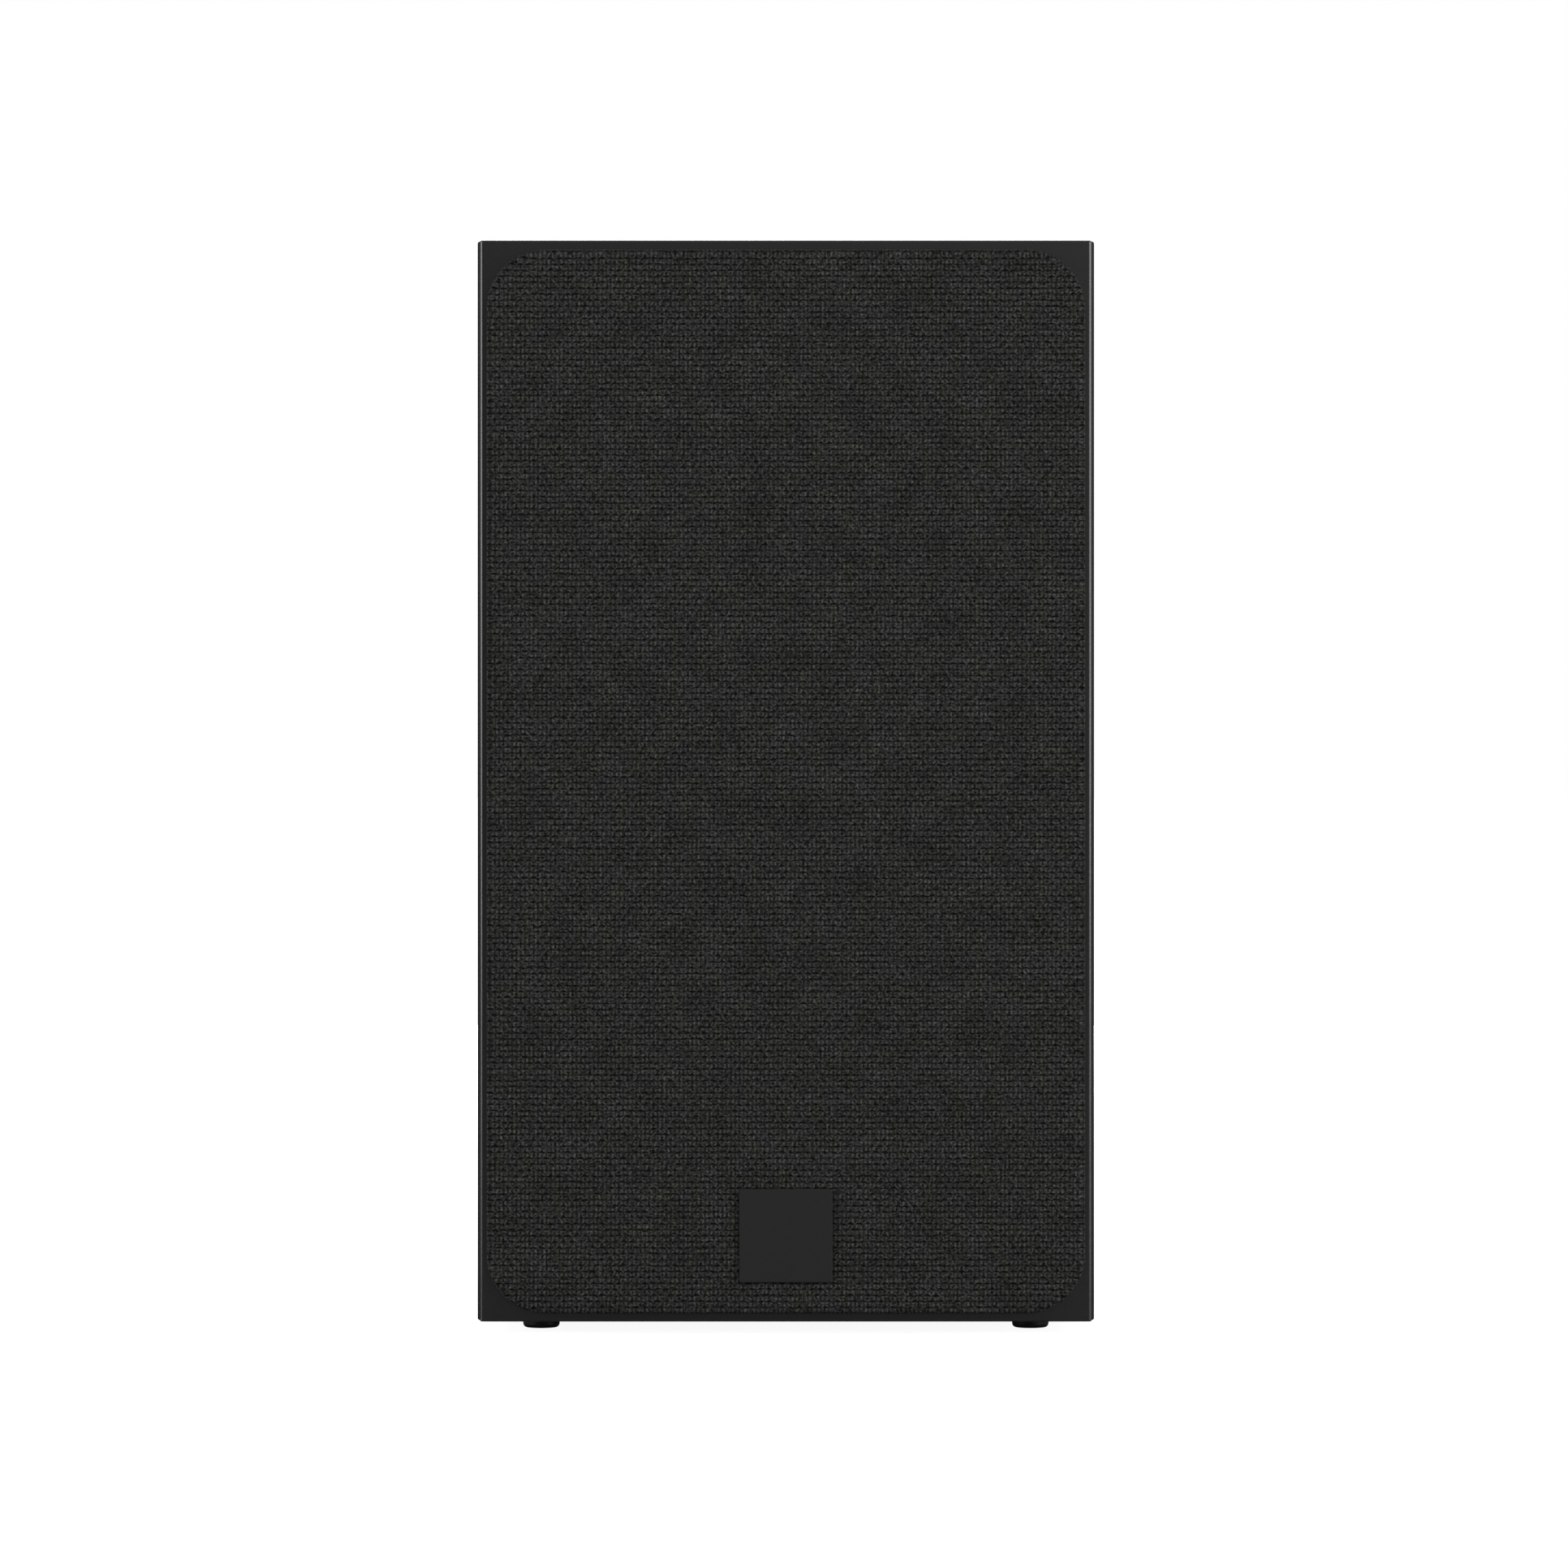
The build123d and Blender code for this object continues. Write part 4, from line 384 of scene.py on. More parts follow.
def driver_finishes():
    """Finishes of the drive units, posts and crossover, by slot."""
    metal = {"relief_mm": 0.01, "Metallic": 1.0}
    fine = (0.5, 0.5, 0.5)
    return {
        # Baked powder coat on pressed steel: orange peel under a broad highlight.
        "basket_metal": grained(
            "Basket powder coat", "0e0e0e", "171717", (1.6, 1.6, 1.6), (0.42, 0.55), relief_mm=0.05
        ),
        # Butyl rubber: dull black with a faint bloom.
        "surround_rubber": grained(
            "Butyl rubber", "101010", "161616", (3, 3, 3), (0.5, 0.64), 0.02, Specular_IOR_Level=0.25
        ),
        # Coated pulp: fibres show as a fine random relief under a dull sheen.
        "cone_paper": grained(
            "Coated pulp", "1a1a1b", "29292a", (0.6, 2.5, 0.6), (0.55, 0.72), 0.06, Specular_IOR_Level=0.2
        ),
        # Resin-stiffened cotton: amber, with a thread texture.
        "spider_cloth": grained(
            "Resin-stiffened cotton", "8a6a26", "b58e3c", (0.7, 0.7, 0.7), (0.75, 0.85), relief_mm=0.1
        ),
        # Coated silk of the dome: dull and dark, with a close weave.
        "dome_cloth": grained(
            "Coated silk", "121213", "1d1d1e", fine, (0.5, 0.65), 0.04, Specular_IOR_Level=0.25
        ),
        # Satin anodising: smooth and even.
        "faceplate_metal": grained(
            "Satin black anodising", "131313", "191919", fine, (0.34, 0.42), 0.01, Specular_IOR_Level=0.25
        ),
        # Rolled aluminium: pale, with fine lines along the roll.
        "former_metal": grained(
            "Rolled aluminium", "b2b3b5", "cacbcd", (0.3, 8, 0.3), roughness=(0.3, 0.42), **metal
        ),
        "copper_wire": wound_wire("Lacquered copper wire", "4a2412", "b4673a", 0.5),
        # Zinc plate on pressed steel: grey and softly mirrored.
        "motor_steel": grained(
            "Zinc-plated steel", "8f9194", "abadb0", (0.6, 0.6, 0.6), roughness=(0.36, 0.48), **metal
        ),
        "nut_steel": grained("Zinc-plated nut steel", "9b9d9f", "b6b8ba", fine, (0.3, 0.42), **metal),
        # Black oxide on screw steel: dark, with a dull metal glint.
        "screw_steel": grained(
            "Black oxide steel", "202021", "2c2c2d", (0.4, 0.4, 0.4), roughness=(0.4, 0.52), **metal
        ),
        # Ground ferrite: charcoal, gritty.
        "ferrite": grained("Ground ferrite", "2c2c2f", "404043", (0.9, 0.9, 0.9), (0.52, 0.68), 0.05),
        # Tin on stamped brass: warm grey, with a soft glint.
        "tag_brass": grained("Tinned brass", "aaa598", "c9c4b7", (0.5, 2, 2), (0.34, 0.46), **metal),
        # Gold plate on turned brass: tool marks run round the post.
        "post_gold": grained(
            "Gold-plated brass", "b9923f", "dab35d", (0.8, 0.2, 0.8), roughness=(0.2, 0.32), **metal
        ),
        # Epoxy-glass board under green varnish: even, with a low gloss.
        "board_laminate": grained("Green glass laminate", "14401f", "1c5229", (2, 2, 2), (0.38, 0.5), 0.02),
        # Unglazed ceramic: off-white and chalky.
        "resistor_ceramic": grained(
            "Fired ceramic", "cfcac0", "e2ded5", (1.5, 1.5, 1.5), roughness=(0.62, 0.78), relief_mm=0.05
        ),
    }


def build_finishes(scene):
    """Makes each finish once and returns it by the record's slot."""
    finishes = {**cabinet_finishes(scene.speaker_cabinet), **moulded_finishes(), **driver_finishes()}
    finishes["grille_cloth"] = woven_cloth("Woven polyester melange", scene.speaker_cloth)
    return finishes


def dress(*nodes):
    """Gives CAD nodes the finish of their slots."""
    for name in nodes:
        slot = "rear_vinyl" if name == "rear_panel" else SLOT_OF[name]
        mesh = NODES[name].data
        mesh.materials.clear()
        mesh.materials.append(FINISHES[slot])


# Modelling helpers


def fresh(add, **settings):
    """Deselects everything, adds a primitive and returns its object with its place in its mesh."""
    bpy.ops.object.select_all(action="DESELECT")
    add(**settings)
    bpy.ops.object.transform_apply(location=True, rotation=True, scale=True)
    return bpy.context.active_object


def boundary(mesh):
    """Edges of a mesh that have one face."""
    uses = {}
    for polygon in mesh.polygons:
        for key in polygon.edge_keys:
            uses[key] = uses.get(key, 0) + 1
    return {key for key, count in uses.items() if count == 1}


def pick(piece, vertices=None, edges=None, faces=None):
    """Enters edit mode with the vertices, edges or faces that a test of the element accepts selected."""
    bpy.ops.object.mode_set(mode="OBJECT")
    mesh = piece.data
    tests = ((mesh.vertices, vertices), (mesh.edges, edges), (mesh.polygons, faces))
    bpy.context.tool_settings.mesh_select_mode = [test is not None for group, test in tests]
    for group, test in tests:
        for element in group:
            element.select = test is not None and bool(test(element))
    bpy.ops.object.mode_set(mode="EDIT")


def close_edit(piece, angle=35.0):
    """Leaves edit mode with merged points, outward faces and smooth shading under an angle."""
    bpy.ops.object.mode_set(mode="EDIT")
    bpy.ops.mesh.select_all(action="SELECT")
    bpy.ops.mesh.remove_doubles(threshold=0.01 * MM)
    bpy.ops.mesh.normals_make_consistent(inside=False)
    bpy.ops.object.mode_set(mode="OBJECT")
    bpy.ops.object.shade_smooth_by_angle(angle=math.radians(angle))


def apply_modifier(piece, kind, **settings):
    """Adds a modifier to the active piece and applies it."""
    modifier = piece.modifiers.new(kind.title(), kind)
    for key, value in settings.items():
        setattr(modifier, key, value)
    bpy.context.view_layer.objects.active = piece
    bpy.ops.object.modifier_apply(modifier=modifier.name)


def finish_piece(piece, name, slot):
    """Names a new piece and gives it the finish of a slot."""
    piece.name = name
    piece.data.name = name
    piece.data.materials.clear()
    piece.data.materials.append(FINISHES[slot])
    return piece


def rim_loop(piece, centre, outer):
    """Test for the inner or outer rim of an open ring about an axis along Y."""
    rims = boundary(piece.data)
    points = piece.data.vertices
    radii = {key: (points[key[0]].co - centre).xz.length for key in rims}
    limit = (max(radii.values()) + min(radii.values())) / 2

    def test(edge):
        key = tuple(sorted(edge.vertices))
        return key in radii and (radii[key] > limit) == outer

    return test


def spread_rim(piece, centre, outer, radius):
    """Extrudes the inner or outer rim of an open ring to a new radius."""
    pick(piece, edges=rim_loop(piece, centre, outer))
    bpy.ops.object.mode_set(mode="OBJECT")
    chosen = [edge for edge in piece.data.edges if edge.select]
    start = (piece.data.vertices[chosen[0].vertices[0]].co - centre).xz.length
    bpy.ops.object.mode_set(mode="EDIT")
    bpy.ops.mesh.extrude_edges_move(TRANSFORM_OT_translate={"value": (0, 0, 0)})
    factor = radius / start
    bpy.ops.transform.resize(value=(factor, 1, factor), center_override=centre)
    bpy.ops.object.mode_set(mode="OBJECT")


def flex_between(piece):
    """Bakes a ring's place into its mesh."""
    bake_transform(piece)


# Pieces


def map_cut(piece, centre, core, edge_radius, corner_radius, front_y, hem_y):
    """Lays the cloth flat: each point's place on the cut piece, in metres, as the map called Cut."""
    mesh = piece.data
    cut = mesh.uv_layers.new(name="Cut")
    quarter = edge_radius * math.pi / 2
    flat_start = corner_radius - edge_radius
    # The map lies a metre clear of nought, so every count of yarns is positive.
    clear = Vector((1.0, 1.0))
    places = []
    for vertex in mesh.vertices:
        across = Vector((vertex.co.x - centre.x, vertex.co.z - centre.z))
        held = Vector((max(-core.x, min(core.x, across.x)), max(-core.y, min(core.y, across.y))))
        out = across - held
        depth = vertex.co.y - front_y
        reach = out.length
        if reach > flat_start and depth > 0:
            run = min(depth, edge_radius)
            reach = flat_start + quarter * run / edge_radius + max(0.0, depth - edge_radius)
            if vertex.co.y > hem_y:
                reach += max(0.0, corner_radius - out.length)
        elif depth > edge_radius:
            reach = flat_start + quarter + depth - edge_radius + corner_radius - out.length
        place = held + (out.normalized() * reach if out.length > 1e-9 else out)
        places.append(place + clear)
    for loop in mesh.loops:
        cut.data[loop.index].uv = places[loop.vertex_index]


class SPEAKER_OT_grille_cloth(bpy.types.Operator):
    """Stretch the woven cloth over the grille frame and turn its hem in behind"""

    bl_idname = "speaker.grille_cloth"
    bl_label = "Grille cloth"

    def execute(self, context):
        cloth = context.scene.speaker_cloth
        low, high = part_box("grille_cloth")
        centre = (low + high) / 2
        size = high - low
        front = Vector((centre.x, low.y, centre.z))
        upright = (math.pi / 2, 0, 0)
        piece = fresh(bpy.ops.mesh.primitive_plane_add, size=1, location=front, rotation=upright)
        pick(piece, vertices=lambda v: True)
        bpy.ops.transform.resize(value=(size.x, 1, size.z), center_override=front)
        bpy.ops.mesh.bevel(affect="VERTICES", offset=cloth.corner_radius, segments=20, profile=0.5)
        bpy.ops.object.mode_set(mode="OBJECT")
        rim = boundary(piece.data)
        pick(piece, edges=lambda e: tuple(sorted(e.vertices)) in rim)
        bpy.ops.mesh.extrude_edges_move(TRANSFORM_OT_translate={"value": (0, size.y, 0)})
        bpy.ops.object.mode_set(mode="OBJECT")
        points = piece.data.vertices
        pick(piece, edges=lambda e: all(points[k].co.y < low.y + 0.1 * MM for k in e.vertices))
        bpy.ops.mesh.bevel(affect="EDGES", offset=cloth.edge_radius, segments=6, profile=0.5)
        bpy.ops.object.mode_set(mode="OBJECT")
        rim = boundary(piece.data)
        pick(piece, edges=lambda e: tuple(sorted(e.vertices)) in rim)
        bpy.ops.mesh.extrude_edges_move(TRANSFORM_OT_translate={"value": (0, 0, 0)})
        turned_in = [1 - 2 * cloth.hem / size.x, 1, 1 - 2 * cloth.hem / size.z]
        bpy.ops.transform.resize(value=turned_in, center_override=centre)
        close_edit(piece, 50)
        core = Vector((size.x / 2 - cloth.corner_radius, size.z / 2 - cloth.corner_radius))
        map_cut(piece, centre, core, cloth.edge_radius, cloth.corner_radius, low.y, high.y - 0.05 * MM)
        apply_modifier(piece, "SOLIDIFY", thickness=cloth.thickness, offset=-1)
        finish_piece(piece, "Grille_cloth", "grille_cloth")
        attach(piece, "grille")
        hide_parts("grille_cloth")
        return {"FINISHED"}


class SPEAKER_OT_grille_hardware(bpy.types.Operator):
    """Finish the grille's frame, pegs, sockets and badge"""

    bl_idname = "speaker.grille_hardware"
    bl_label = "Grille hardware"

    def execute(self, context):
        dress("grille_frame", "grille_pegs", "grille_sockets", "badge")
        return {"FINISHED"}


class SPEAKER_OT_cabinet(bpy.types.Operator):
    """Finish the cabinet's panels, brace and feet"""

    bl_idname = "speaker.cabinet"
    bl_label = "Cabinet"

    def execute(self, context):
        dress("top_panel", "bottom_panel", "left_panel", "right_panel", "rear_panel", "front_baffle")
        dress("cabinet_brace", "feet", "gaskets")
        return {"FINISHED"}


def half_roll(node, inner, outer, lip, thickness):
    """A half-round suspension between two radii, with a flat land each side, in a CAD ring's place."""
    low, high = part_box(node)
    centre = middle(node)
    seat = high.y - thickness
    axis_point = Vector((centre.x, seat, centre.z))
    ring = fresh(
        bpy.ops.mesh.primitive_torus_add,
        location=axis_point,
        rotation=(math.pi / 2, 0, 0),
        major_segments=144,
        minor_segments=32,
        major_radius=(inner + outer) / 2,
        minor_radius=(outer - inner) / 2,
    )
    pick(ring, vertices=lambda v: v.co.y > seat + 0.001 * MM)
    bpy.ops.mesh.delete(type="VERT")
    # The roll is as deep as the solid's, whatever its width.
    pick(ring, vertices=lambda v: True)
    deep = (seat - low.y) / ((outer - inner) / 2)
    bpy.ops.transform.resize(value=(1, deep, 1), center_override=axis_point)
    bpy.ops.object.mode_set(mode="OBJECT")
    spread_rim(ring, axis_point, True, lip[1])
    spread_rim(ring, axis_point, False, lip[0])
    close_edit(ring)
    # Thickness is added rearwards, away from the crest.
    apply_modifier(ring, "SOLIDIFY", thickness=thickness, offset=-1)
    return ring, axis_point


class SPEAKER_OT_woofer(bpy.types.Operator):
    """Finish the woofer, and model its surround and spider"""

    bl_idname = "speaker.woofer"
    bl_label = "Woofer"

    def execute(self, context):
        dress("woofer_trim_ring", "woofer_basket", "woofer_cone", "woofer_dust_cap", "voice_coil_former")
        dress("voice_coil", "woofer_front_plate", "woofer_magnet", "woofer_yoke", "driver_terminals")
        inner, outer = 63 * MM, 77 * MM
        ring, centre = half_roll("woofer_surround", inner, outer, (60 * MM, 80 * MM), 1.0 * MM)
        finish_piece(ring, "Woofer_surround", "surround_rubber")
        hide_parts("woofer_surround")
        flex_between(ring)
        self.spider()
        return {"FINISHED"}

    def spider(self):
        """Corrugated disc from the voice coil's former out to the basket's ledge."""
        centre = middle("woofer_spider")
        first, last, land = 20.3 * MM, 45.9 * MM, 52.5 * MM
        waves, rise, steps = 8, 1.0 * MM, 40
        disc = fresh(
            bpy.ops.mesh.primitive_circle_add,
            vertices=96,
            radius=first,
            fill_type="NOTHING",
            location=centre,
            rotation=(math.pi / 2, 0, 0),
        )
        height = 0.0
        radius = first
        for k in range(1, steps + 1):
            pick(disc, vertices=lambda v: (v.co - centre).xz.length > radius - 0.01 * MM)
            target = -rise * math.sin(math.pi * waves * k / steps)
            bpy.ops.mesh.extrude_region_move(TRANSFORM_OT_translate={"value": (0, target - height, 0)})
            wider = first + (last - first) * k / steps
            bpy.ops.transform.resize(value=(wider / radius, 1, wider / radius), center_override=centre)
            bpy.ops.object.mode_set(mode="OBJECT")
            height, radius = target, wider
        pick(disc, vertices=lambda v: (v.co - centre).xz.length > radius - 0.01 * MM)
        bpy.ops.mesh.extrude_region_move(TRANSFORM_OT_translate={"value": (0, 0, 0)})
        bpy.ops.transform.resize(value=(land / radius, 1, land / radius), center_override=centre)
        close_edit(disc, 60)
        apply_modifier(disc, "SOLIDIFY", thickness=0.6 * MM, offset=0)
        finish_piece(disc, "Woofer_spider", "spider_cloth")
        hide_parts("woofer_spider")
        flex_between(disc)


class SPEAKER_OT_tweeter(bpy.types.Operator):
    """Finish the tweeter, and model its surround"""

    bl_idname = "speaker.tweeter"
    bl_label = "Tweeter"

    def execute(self, context):
        dress("tweeter_faceplate", "tweeter_dome", "tweeter_coil", "tweeter_front_plate")
        dress("tweeter_magnet", "tweeter_yoke", "tweeter_rear_chamber")
        inner, outer = 14.8 * MM, 17.8 * MM
        ring, centre = half_roll("tweeter_surround", inner, outer, (13.6 * MM, 21.2 * MM), 0.6 * MM)
        finish_piece(ring, "Tweeter_surround", "dome_cloth")
        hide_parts("tweeter_surround")
        flex_between(ring)
        return {"FINISHED"}


class SPEAKER_OT_port_and_terminals(bpy.types.Operator):
    """Finish the port, the terminal cup and the binding posts"""

    bl_idname = "speaker.port_and_terminals"
    bl_label = "Port and terminals"

    def execute(self, context):
        dress("port_flare", "port_tube", "terminal_cup", "post_solder_tags", "post_nuts")
        for pole in ("positive", "negative"):
            dress(*(f"{pole}_{part}" for part in ("post", "collar", "washer", "insert", "cap")))
        return {"FINISHED"}


class SPEAKER_OT_crossover(bpy.types.Operator):
    """Finish the crossover's board, its parts and the internal leads"""

    bl_idname = "speaker.crossover"
    bl_label = "Crossover"

    def execute(self, context):
        dress("crossover_board", "crossover_standoffs", "inductor_bobbins", "inductor_windings")
        dress("crossover_capacitors", "crossover_resistors", "internal_leads")
        return {"FINISHED"}


def islands(node):
    """Boxes of a CAD node's separate solids, as lowest and highest corners."""
    mesh = NODES[node].data
    parent = {}

    def root(key):
        while parent[key] != key:
            parent[key] = parent[parent[key]]
            key = parent[key]
        return key

    keys = [tuple(round(c / (0.001 * MM)) for c in vertex.co) for vertex in mesh.vertices]
    for key in keys:
        parent.setdefault(key, key)
    for polygon in mesh.polygons:
        first = root(keys[polygon.vertices[0]])
        for k in polygon.vertices:
            parent[root(keys[k])] = first
    groups = {}
    for vertex, key in zip(mesh.vertices, keys):
        groups.setdefault(root(key), []).append(vertex.co)
    boxes = []
    for points in groups.values():
        array = np.array(points)
        boxes.append((Vector(array.min(0)), Vector(array.max(0))))
    return sorted(boxes, key=lambda box: tuple(round(c, 4) for c in box[0]))


class SPEAKER_OT_screws(bpy.types.Operator):
    """Model countersunk screws with hexagon sockets in place of the plain ones"""

    bl_idname = "speaker.screws"
    bl_label = "Screws"

    def execute(self, context):
        for node in ("driver_screws", "rear_screws"):
            copies = []
            patterns = {}
            for low, high in islands(node):
                size = tuple(round(length / MM, 2) for length in high - low)
                if size in patterns:
                    pattern, corner = patterns[size]
                    copies.append(self.copied(pattern, low - corner))
                else:
                    copies.append(self.screw(low, high, node == "rear_screws"))
                    patterns[size] = (copies[-1], low)
            bpy.ops.object.select_all(action="DESELECT")
            for copy in copies:
                copy.select_set(True)
            bpy.context.view_layer.objects.active = copies[0]
            bpy.ops.object.join()
            piece = finish_piece(context.active_object, node.title(), SLOT_OF[node])
            bpy.ops.object.shade_smooth_by_angle(angle=math.radians(35))
            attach(piece, "cabinet")
            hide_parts(node)
        return {"FINISHED"}

    def copied(self, pattern, shift):
        """A copy of a screw with its own mesh, moved to its place."""
        bpy.ops.object.select_all(action="DESELECT")
        pattern.select_set(True)
        bpy.context.view_layer.objects.active = pattern
        bpy.ops.object.duplicate()
        copy = bpy.context.active_object
        copy.location = shift
        bpy.ops.object.transform_apply(location=True, rotation=False, scale=False)
        return copy

    def screw(self, low, high, from_rear):
        """One screw in a box: a cone head that tapers to its shank, with a socket cut in its face."""
        centre = (low + high) / 2
        head = (high.x - low.x) / 2
        shank = head / 1.95
        rim, tip_share = 0.3 * MM, 0.3
        socket_radius, socket_depth = head * 0.48, head * 0.9
        way = -1 if from_rear else 1
        face_y = high.y if from_rear else low.y
        face = Vector((centre.x, face_y, centre.z))
        body = fresh(
            bpy.ops.mesh.primitive_circle_add,
            vertices=32,
            radius=head,
            fill_type="NGON",
            location=face,
            rotation=(math.pi / 2, 0, 0),
        )
        pick(body, faces=lambda f: True)
        bpy.ops.mesh.extrude_region_move(TRANSFORM_OT_translate={"value": (0, way * rim, 0)})
        taper = head - shank
        slope = (0, way * (taper - rim), 0)
        bpy.ops.mesh.extrude_region_move(TRANSFORM_OT_translate={"value": slope})
        far = face + Vector((0, way * taper, 0))
        bpy.ops.transform.resize(value=(shank / head, 1, shank / head), center_override=far)
        rest = (high.y - low.y) - taper
        bpy.ops.mesh.extrude_region_move(TRANSFORM_OT_translate={"value": (0, way * rest, 0)})
        tip = face + Vector((0, way * (taper + rest), 0))
        bpy.ops.transform.resize(value=(tip_share, 1, tip_share), center_override=tip)
        close_edit(body)
        socket = fresh(
            bpy.ops.mesh.primitive_cylinder_add,
            vertices=6,
            radius=socket_radius,
            depth=socket_depth,
            location=face,
            rotation=(math.pi / 2, 0, 0),
        )
        apply_modifier(body, "BOOLEAN", object=socket, operation="DIFFERENCE", solver="EXACT")
        bpy.data.objects.remove(socket)
        return body


class SPEAKER_OT_polarity_marks(bpy.types.Operator):
    """Mould a plus and a minus above the posts, raised from the cup's floor"""

    bl_idname = "speaker.polarity_marks"
    bl_label = "Polarity marks"

    def execute(self, context):
        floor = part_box("positive_collar")[0].y
        size, rise, lift = 6.0 * MM, 0.5 * MM, 16.0 * MM
        for pole, name in (("positive", "Plus_mark"), ("negative", "Minus_mark")):
            post = middle(f"{pole}_post")
            place = Vector((post.x, floor, post.z + lift))
            facing_back = (-math.pi / 2, 0, 0)
            mark = fresh(bpy.ops.mesh.primitive_plane_add, size=size, location=place, rotation=facing_back)
            pick(mark, faces=lambda f: True)
            bpy.ops.mesh.subdivide(number_cuts=4)
            half = size / 10

            def outside(face):
                across = abs(face.center.x - place.x) > half
                up = abs(face.center.z - place.z) > half
                return up if pole == "negative" else across and up

            pick(mark, faces=outside)
            bpy.ops.mesh.delete(type="FACE")
            pick(mark, faces=lambda f: True)
            bpy.ops.mesh.extrude_region_move(TRANSFORM_OT_translate={"value": (0, rise, 0)})
            close_edit(mark)
            apply_modifier(mark, "BEVEL", width=0.12 * MM, segments=2, limit_method="ANGLE")
            finish_piece(mark, name, "cup_plastic")
            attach(mark, "cabinet")
        return {"FINISHED"}


class SPEAKER_OT_wadding(bpy.types.Operator):
    """Model the damping pads as soft slabs of wadding"""

    bl_idname = "speaker.wadding"
    bl_label = "Damping wadding"

    def execute(self, context):
        swell = bpy.data.textures.new("Wadding tufts", "CLOUDS")
        swell.noise_scale = 30 * MM
        tufts = {"texture": swell, "strength": 4 * MM, "mid_level": 0.5, "texture_coords": "LOCAL"}
        for k, (low, high) in enumerate(islands("damping_wadding")):
            size = (high - low) - Vector((3, 3, 3)) * MM
            pad = fresh(bpy.ops.mesh.primitive_cube_add, size=1, location=(low + high) / 2, scale=size)
            pick(pad, faces=lambda f: True)
            bpy.ops.mesh.subdivide(number_cuts=6)
            bpy.ops.object.mode_set(mode="OBJECT")
            apply_modifier(pad, "SUBSURF", levels=2, render_levels=2)
            apply_modifier(pad, "DISPLACE", **tufts)
            close_edit(pad, 60)
            finish_piece(pad, f"Wadding_{k + 1}", "wadding")
            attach(pad, "cabinet")
            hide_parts("damping_wadding")
        return {"FINISHED"}


# Stage


# Softboxes: name, degrees round the speaker from the camera, and share of the lamp power.
SOFTBOXES = (("Softbox_left", -60, 0.9), ("Softbox_right", 60, 1.15), ("Softbox_back", 180, 1.0))
SOFTBOX_SIZE = (0.9, 1.2)
SOFTBOX_DISTANCE = 2.2
SOFTBOX_RISE = 0.35
# How fast the mirrored room brightens to the right and upwards.
ROOM_LEAN = (2.2, 0, 1.8)


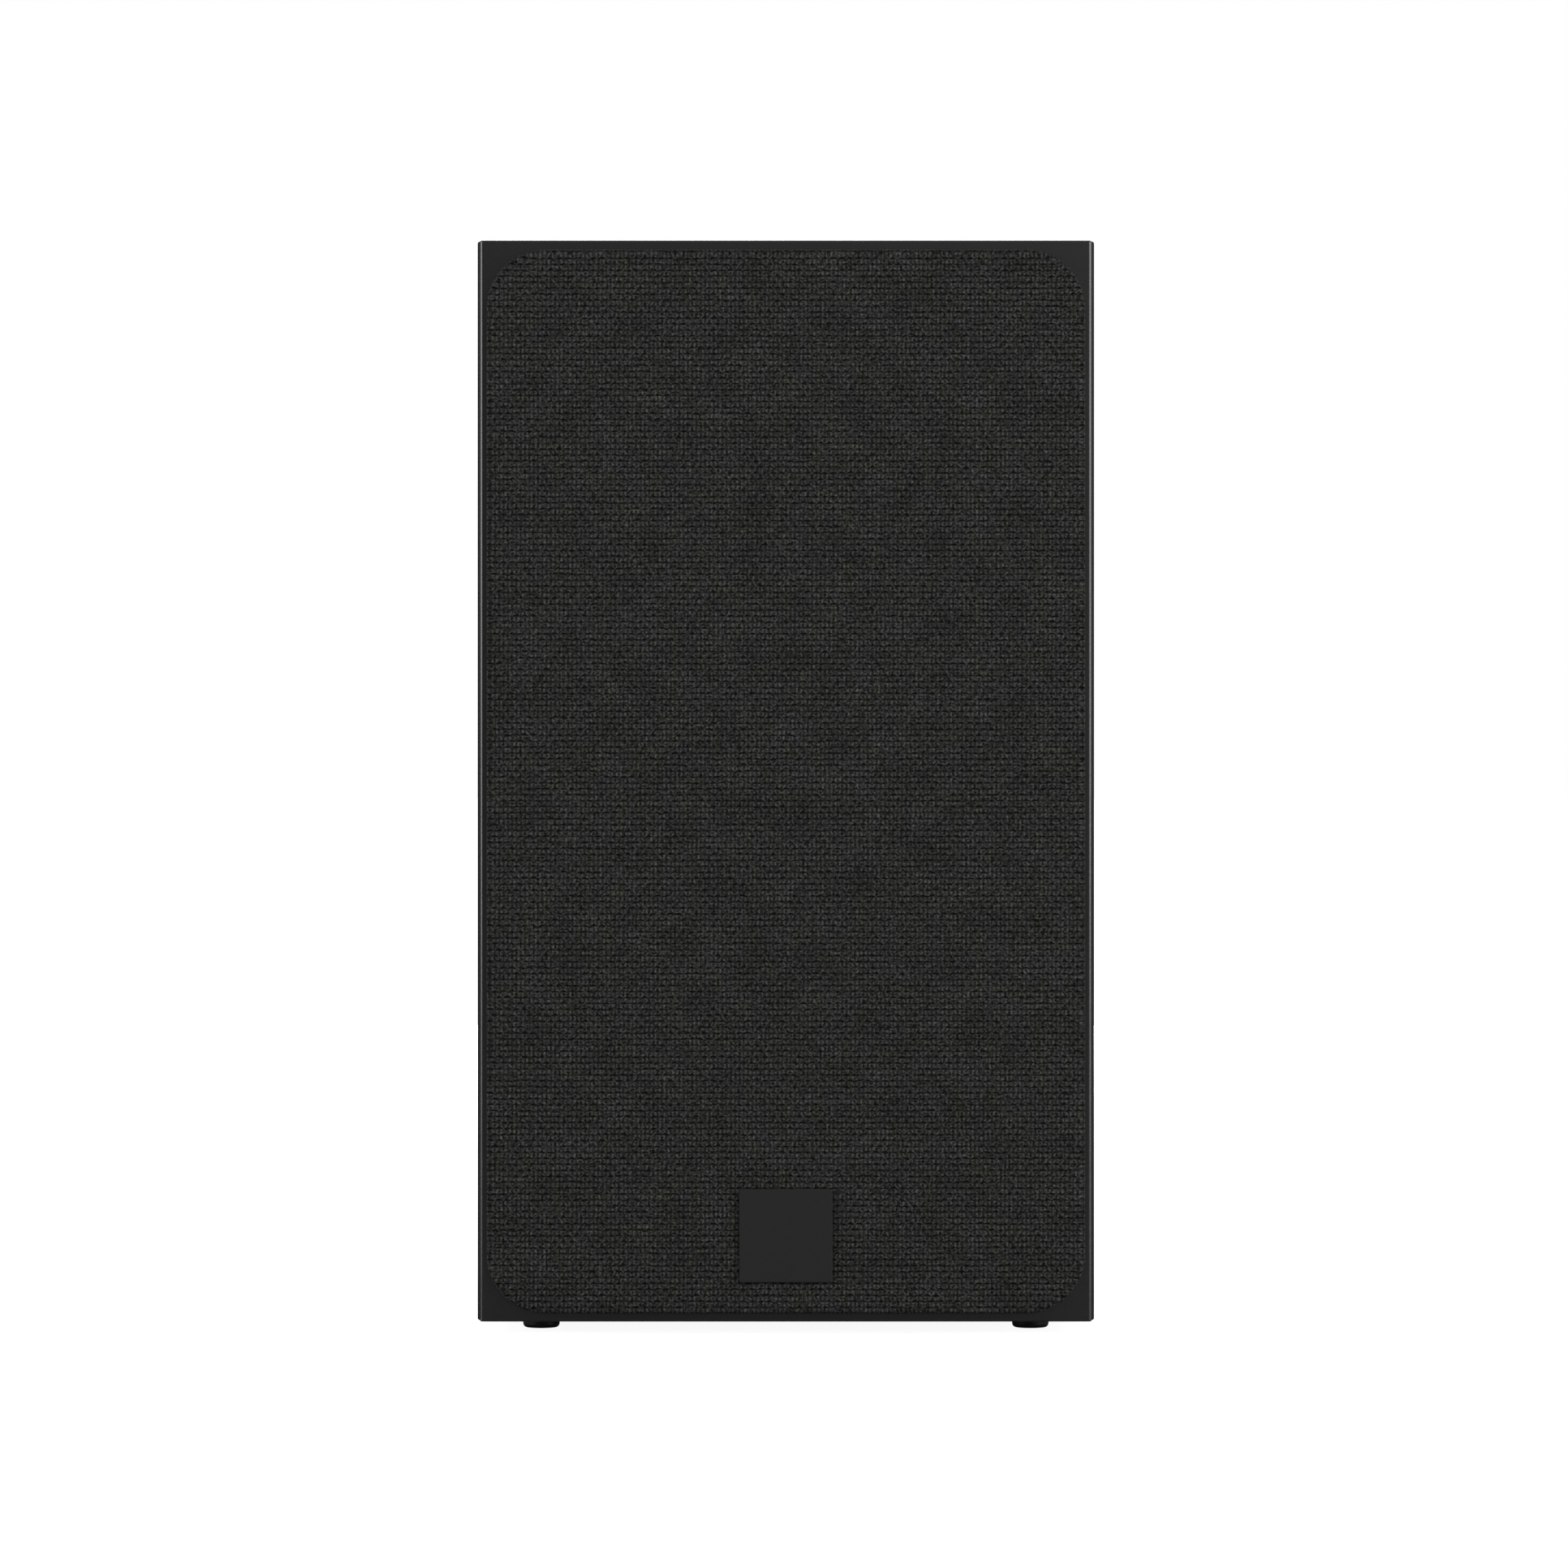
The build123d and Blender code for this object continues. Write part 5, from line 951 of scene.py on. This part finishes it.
class SPEAKER_OT_stage(bpy.types.Operator):
    """Add the floor, the light and the camera"""

    bl_idname = "speaker.stage"
    bl_label = "Stage"

    def execute(self, context):
        studio = context.scene.speaker_studio
        context.scene.view_settings.view_transform = "Standard"
        self.floor()
        self.world(context.scene, studio)
        self.lamps(studio)
        self.camera(context.scene, studio)
        return {"FINISHED"}

    def floor(self):
        """Pale floor that reads white to the camera and still takes the speaker's shadow."""
        ground = fresh(bpy.ops.mesh.primitive_plane_add, size=24)
        ground.name = "Floor"
        material, tree = new_material("White sweep")
        matt = add_node(tree, "ShaderNodeBsdfDiffuse", {"Color": (0.5, 0.5, 0.5, 1)})
        glow = add_node(tree, "ShaderNodeEmission", {"Color": (1, 1, 1, 1), "Strength": 0.93})
        lit = add_node(tree, "ShaderNodeAddShader", {0: matt.outputs[0], 1: glow.outputs[0]})
        plain = add_node(tree, "ShaderNodeBsdfDiffuse", {"Color": (0.4, 0.4, 0.4, 1)})
        # Satin black mirrors only a trace of the white.
        shares = {"Is Camera Ray": 1.0, "Is Transmission Ray": 1.0, "Is Glossy Ray": 0.02}
        shown = 0.0
        path = add_node(tree, "ShaderNodeLightPath").outputs
        for kind, share in shares.items():
            weighed = {0: path[kind], 1: share}
            part = add_node(tree, "ShaderNodeMath", weighed, operation="MULTIPLY").outputs[0]
            shown = add_node(tree, "ShaderNodeMath", {0: part, 1: shown}, operation="MAXIMUM").outputs[0]
        blended = {0: shown, 1: plain.outputs[0], 2: lit.outputs[0]}
        choice = add_node(tree, "ShaderNodeMixShader", blended)
        add_node(tree, "ShaderNodeOutputMaterial", {"Surface": choice.outputs[0]})
        ground.data.materials.append(material)

    def world(self, scene, studio):
        """White behind and beside the speaker, a dimmer room in front of it, and an even light on it."""
        world = bpy.data.worlds.new("Studio")
        scene.world = world
        world.use_nodes = True
        tree = world.node_tree
        tree.nodes.clear()
        way = add_node(tree, "ShaderNodeTexCoord").outputs["Generated"]
        back = add_node(tree, "ShaderNodeSeparateXYZ", {0: way}).outputs["Y"]
        # The lacquer's mirror image of the room is a little paler above and to the right.
        leaning = {0: way, 1: ROOM_LEAN}
        lean = add_node(tree, "ShaderNodeVectorMath", leaning, operation="DOT_PRODUCT").outputs["Value"]
        tinted = {0: lean, 1: studio.room}
        near = add_node(tree, "ShaderNodeMath", tinted, operation="ADD", use_clamp=True).outputs[0]
        limits = {"Value": back, "From Min": -0.95, "From Max": -0.3, "To Min": near, "To Max": 1.0}
        room = add_node(tree, "ShaderNodeMapRange", limits, interpolation_type="SMOOTHSTEP").outputs[0]
        path = add_node(tree, "ShaderNodeLightPath").outputs
        bounced = {0: path["Is Glossy Ray"], 1: path["Is Transmission Ray"]}
        mirrored = add_node(tree, "ShaderNodeMath", bounced, operation="MAXIMUM").outputs[0]
        level = add_node(tree, "ShaderNodeMix", {0: mirrored, 2: studio.ambient, 3: room}).outputs[0]
        seen = add_node(tree, "ShaderNodeMix", {0: path["Is Camera Ray"], 2: level, 3: 1.0}).outputs[0]
        sky = add_node(tree, "ShaderNodeBackground", {"Color": (1, 1, 1, 1), "Strength": seen})
        add_node(tree, "ShaderNodeOutputWorld", {"Surface": sky.outputs[0]})

    def lamps(self, studio):
        """Tall softboxes left and right of the camera, and one that lights the back."""
        aim = middle("front_baffle")
        for name, angle, share in SOFTBOXES:
            data = bpy.data.lights.new(name, "AREA")
            data.shape = "RECTANGLE"
            data.size, data.size_y = SOFTBOX_SIZE
            data.energy = studio.lamp_power * share
            lamp = bpy.data.objects.new(name, data)
            bpy.context.scene.collection.objects.link(lamp)
            turn = math.radians(angle)
            around = Vector((math.sin(turn), -math.cos(turn), 0)) * SOFTBOX_DISTANCE
            lamp.location = aim + around + Vector((0, 0, SOFTBOX_RISE))
            lamp.rotation_euler = (aim - lamp.location).to_track_quat("-Z", "Y").to_euler()

    def camera(self, scene, studio):
        """Level camera in front, shifted so that the cabinet falls as it does in the photograph."""
        low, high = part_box("front_baffle")
        pixels_per_metre = CABINET_PIXELS / (high.x - low.x)
        across, down = CABINET_CENTRE_PIXEL
        data = bpy.data.cameras.new("Camera")
        data.sensor_width = SENSOR_MM
        data.lens = studio.distance * pixels_per_metre * SENSOR_MM / IMAGE_PIXELS
        data.shift_x = 0.5 - across / IMAGE_PIXELS
        data.shift_y = (down - studio.camera_rise * pixels_per_metre) / IMAGE_PIXELS - 0.5
        data.clip_end = 50
        eye = bpy.data.objects.new("Camera", data)
        scene.collection.objects.link(eye)
        target = Vector(((low.x + high.x) / 2, low.y, (low.z + high.z) / 2))
        eye.location = target + Vector((0, -studio.distance, studio.camera_rise))
        eye.rotation_euler = (math.pi / 2, 0, 0)
        scene.camera = eye


class SPEAKER_PT_panel(bpy.types.Panel):
    """Lists the steps that dress the speaker"""

    bl_idname = "SPEAKER_PT_panel"
    bl_label = "Bookshelf speaker"
    bl_space_type = "VIEW_3D"
    bl_region_type = "UI"
    bl_category = "Speaker"

    def draw(self, context):
        for step in STEPS:
            self.layout.operator(step.bl_idname)


STEPS = [
    SPEAKER_OT_cabinet,
    SPEAKER_OT_grille_hardware,
    SPEAKER_OT_grille_cloth,
    SPEAKER_OT_woofer,
    SPEAKER_OT_tweeter,
    SPEAKER_OT_port_and_terminals,
    SPEAKER_OT_crossover,
    SPEAKER_OT_screws,
    SPEAKER_OT_polarity_marks,
    SPEAKER_OT_wadding,
    SPEAKER_OT_stage,
]
SETTINGS = {
    "speaker_cloth": ClothSettings,
    "speaker_cabinet": CabinetSettings,
    "speaker_studio": StudioSettings,
}
FINISHES = {}


def register():
    for name, group in SETTINGS.items():
        bpy.utils.register_class(group)
        setattr(bpy.types.Scene, name, bpy.props.PointerProperty(type=group))
    for cls in (*STEPS, SPEAKER_PT_panel):
        bpy.utils.register_class(cls)


def unregister():
    for cls in (SPEAKER_PT_panel, *reversed(STEPS)):
        bpy.utils.unregister_class(cls)
    for name, group in SETTINGS.items():
        delattr(bpy.types.Scene, name)
        bpy.utils.unregister_class(group)


def main():
    register()
    FINISHES.update(build_finishes(bpy.context.scene))
    for step in STEPS:
        group, name = step.bl_idname.split(".")
        getattr(getattr(bpy.ops, group), name)()


if __name__ == "__main__":
    main()
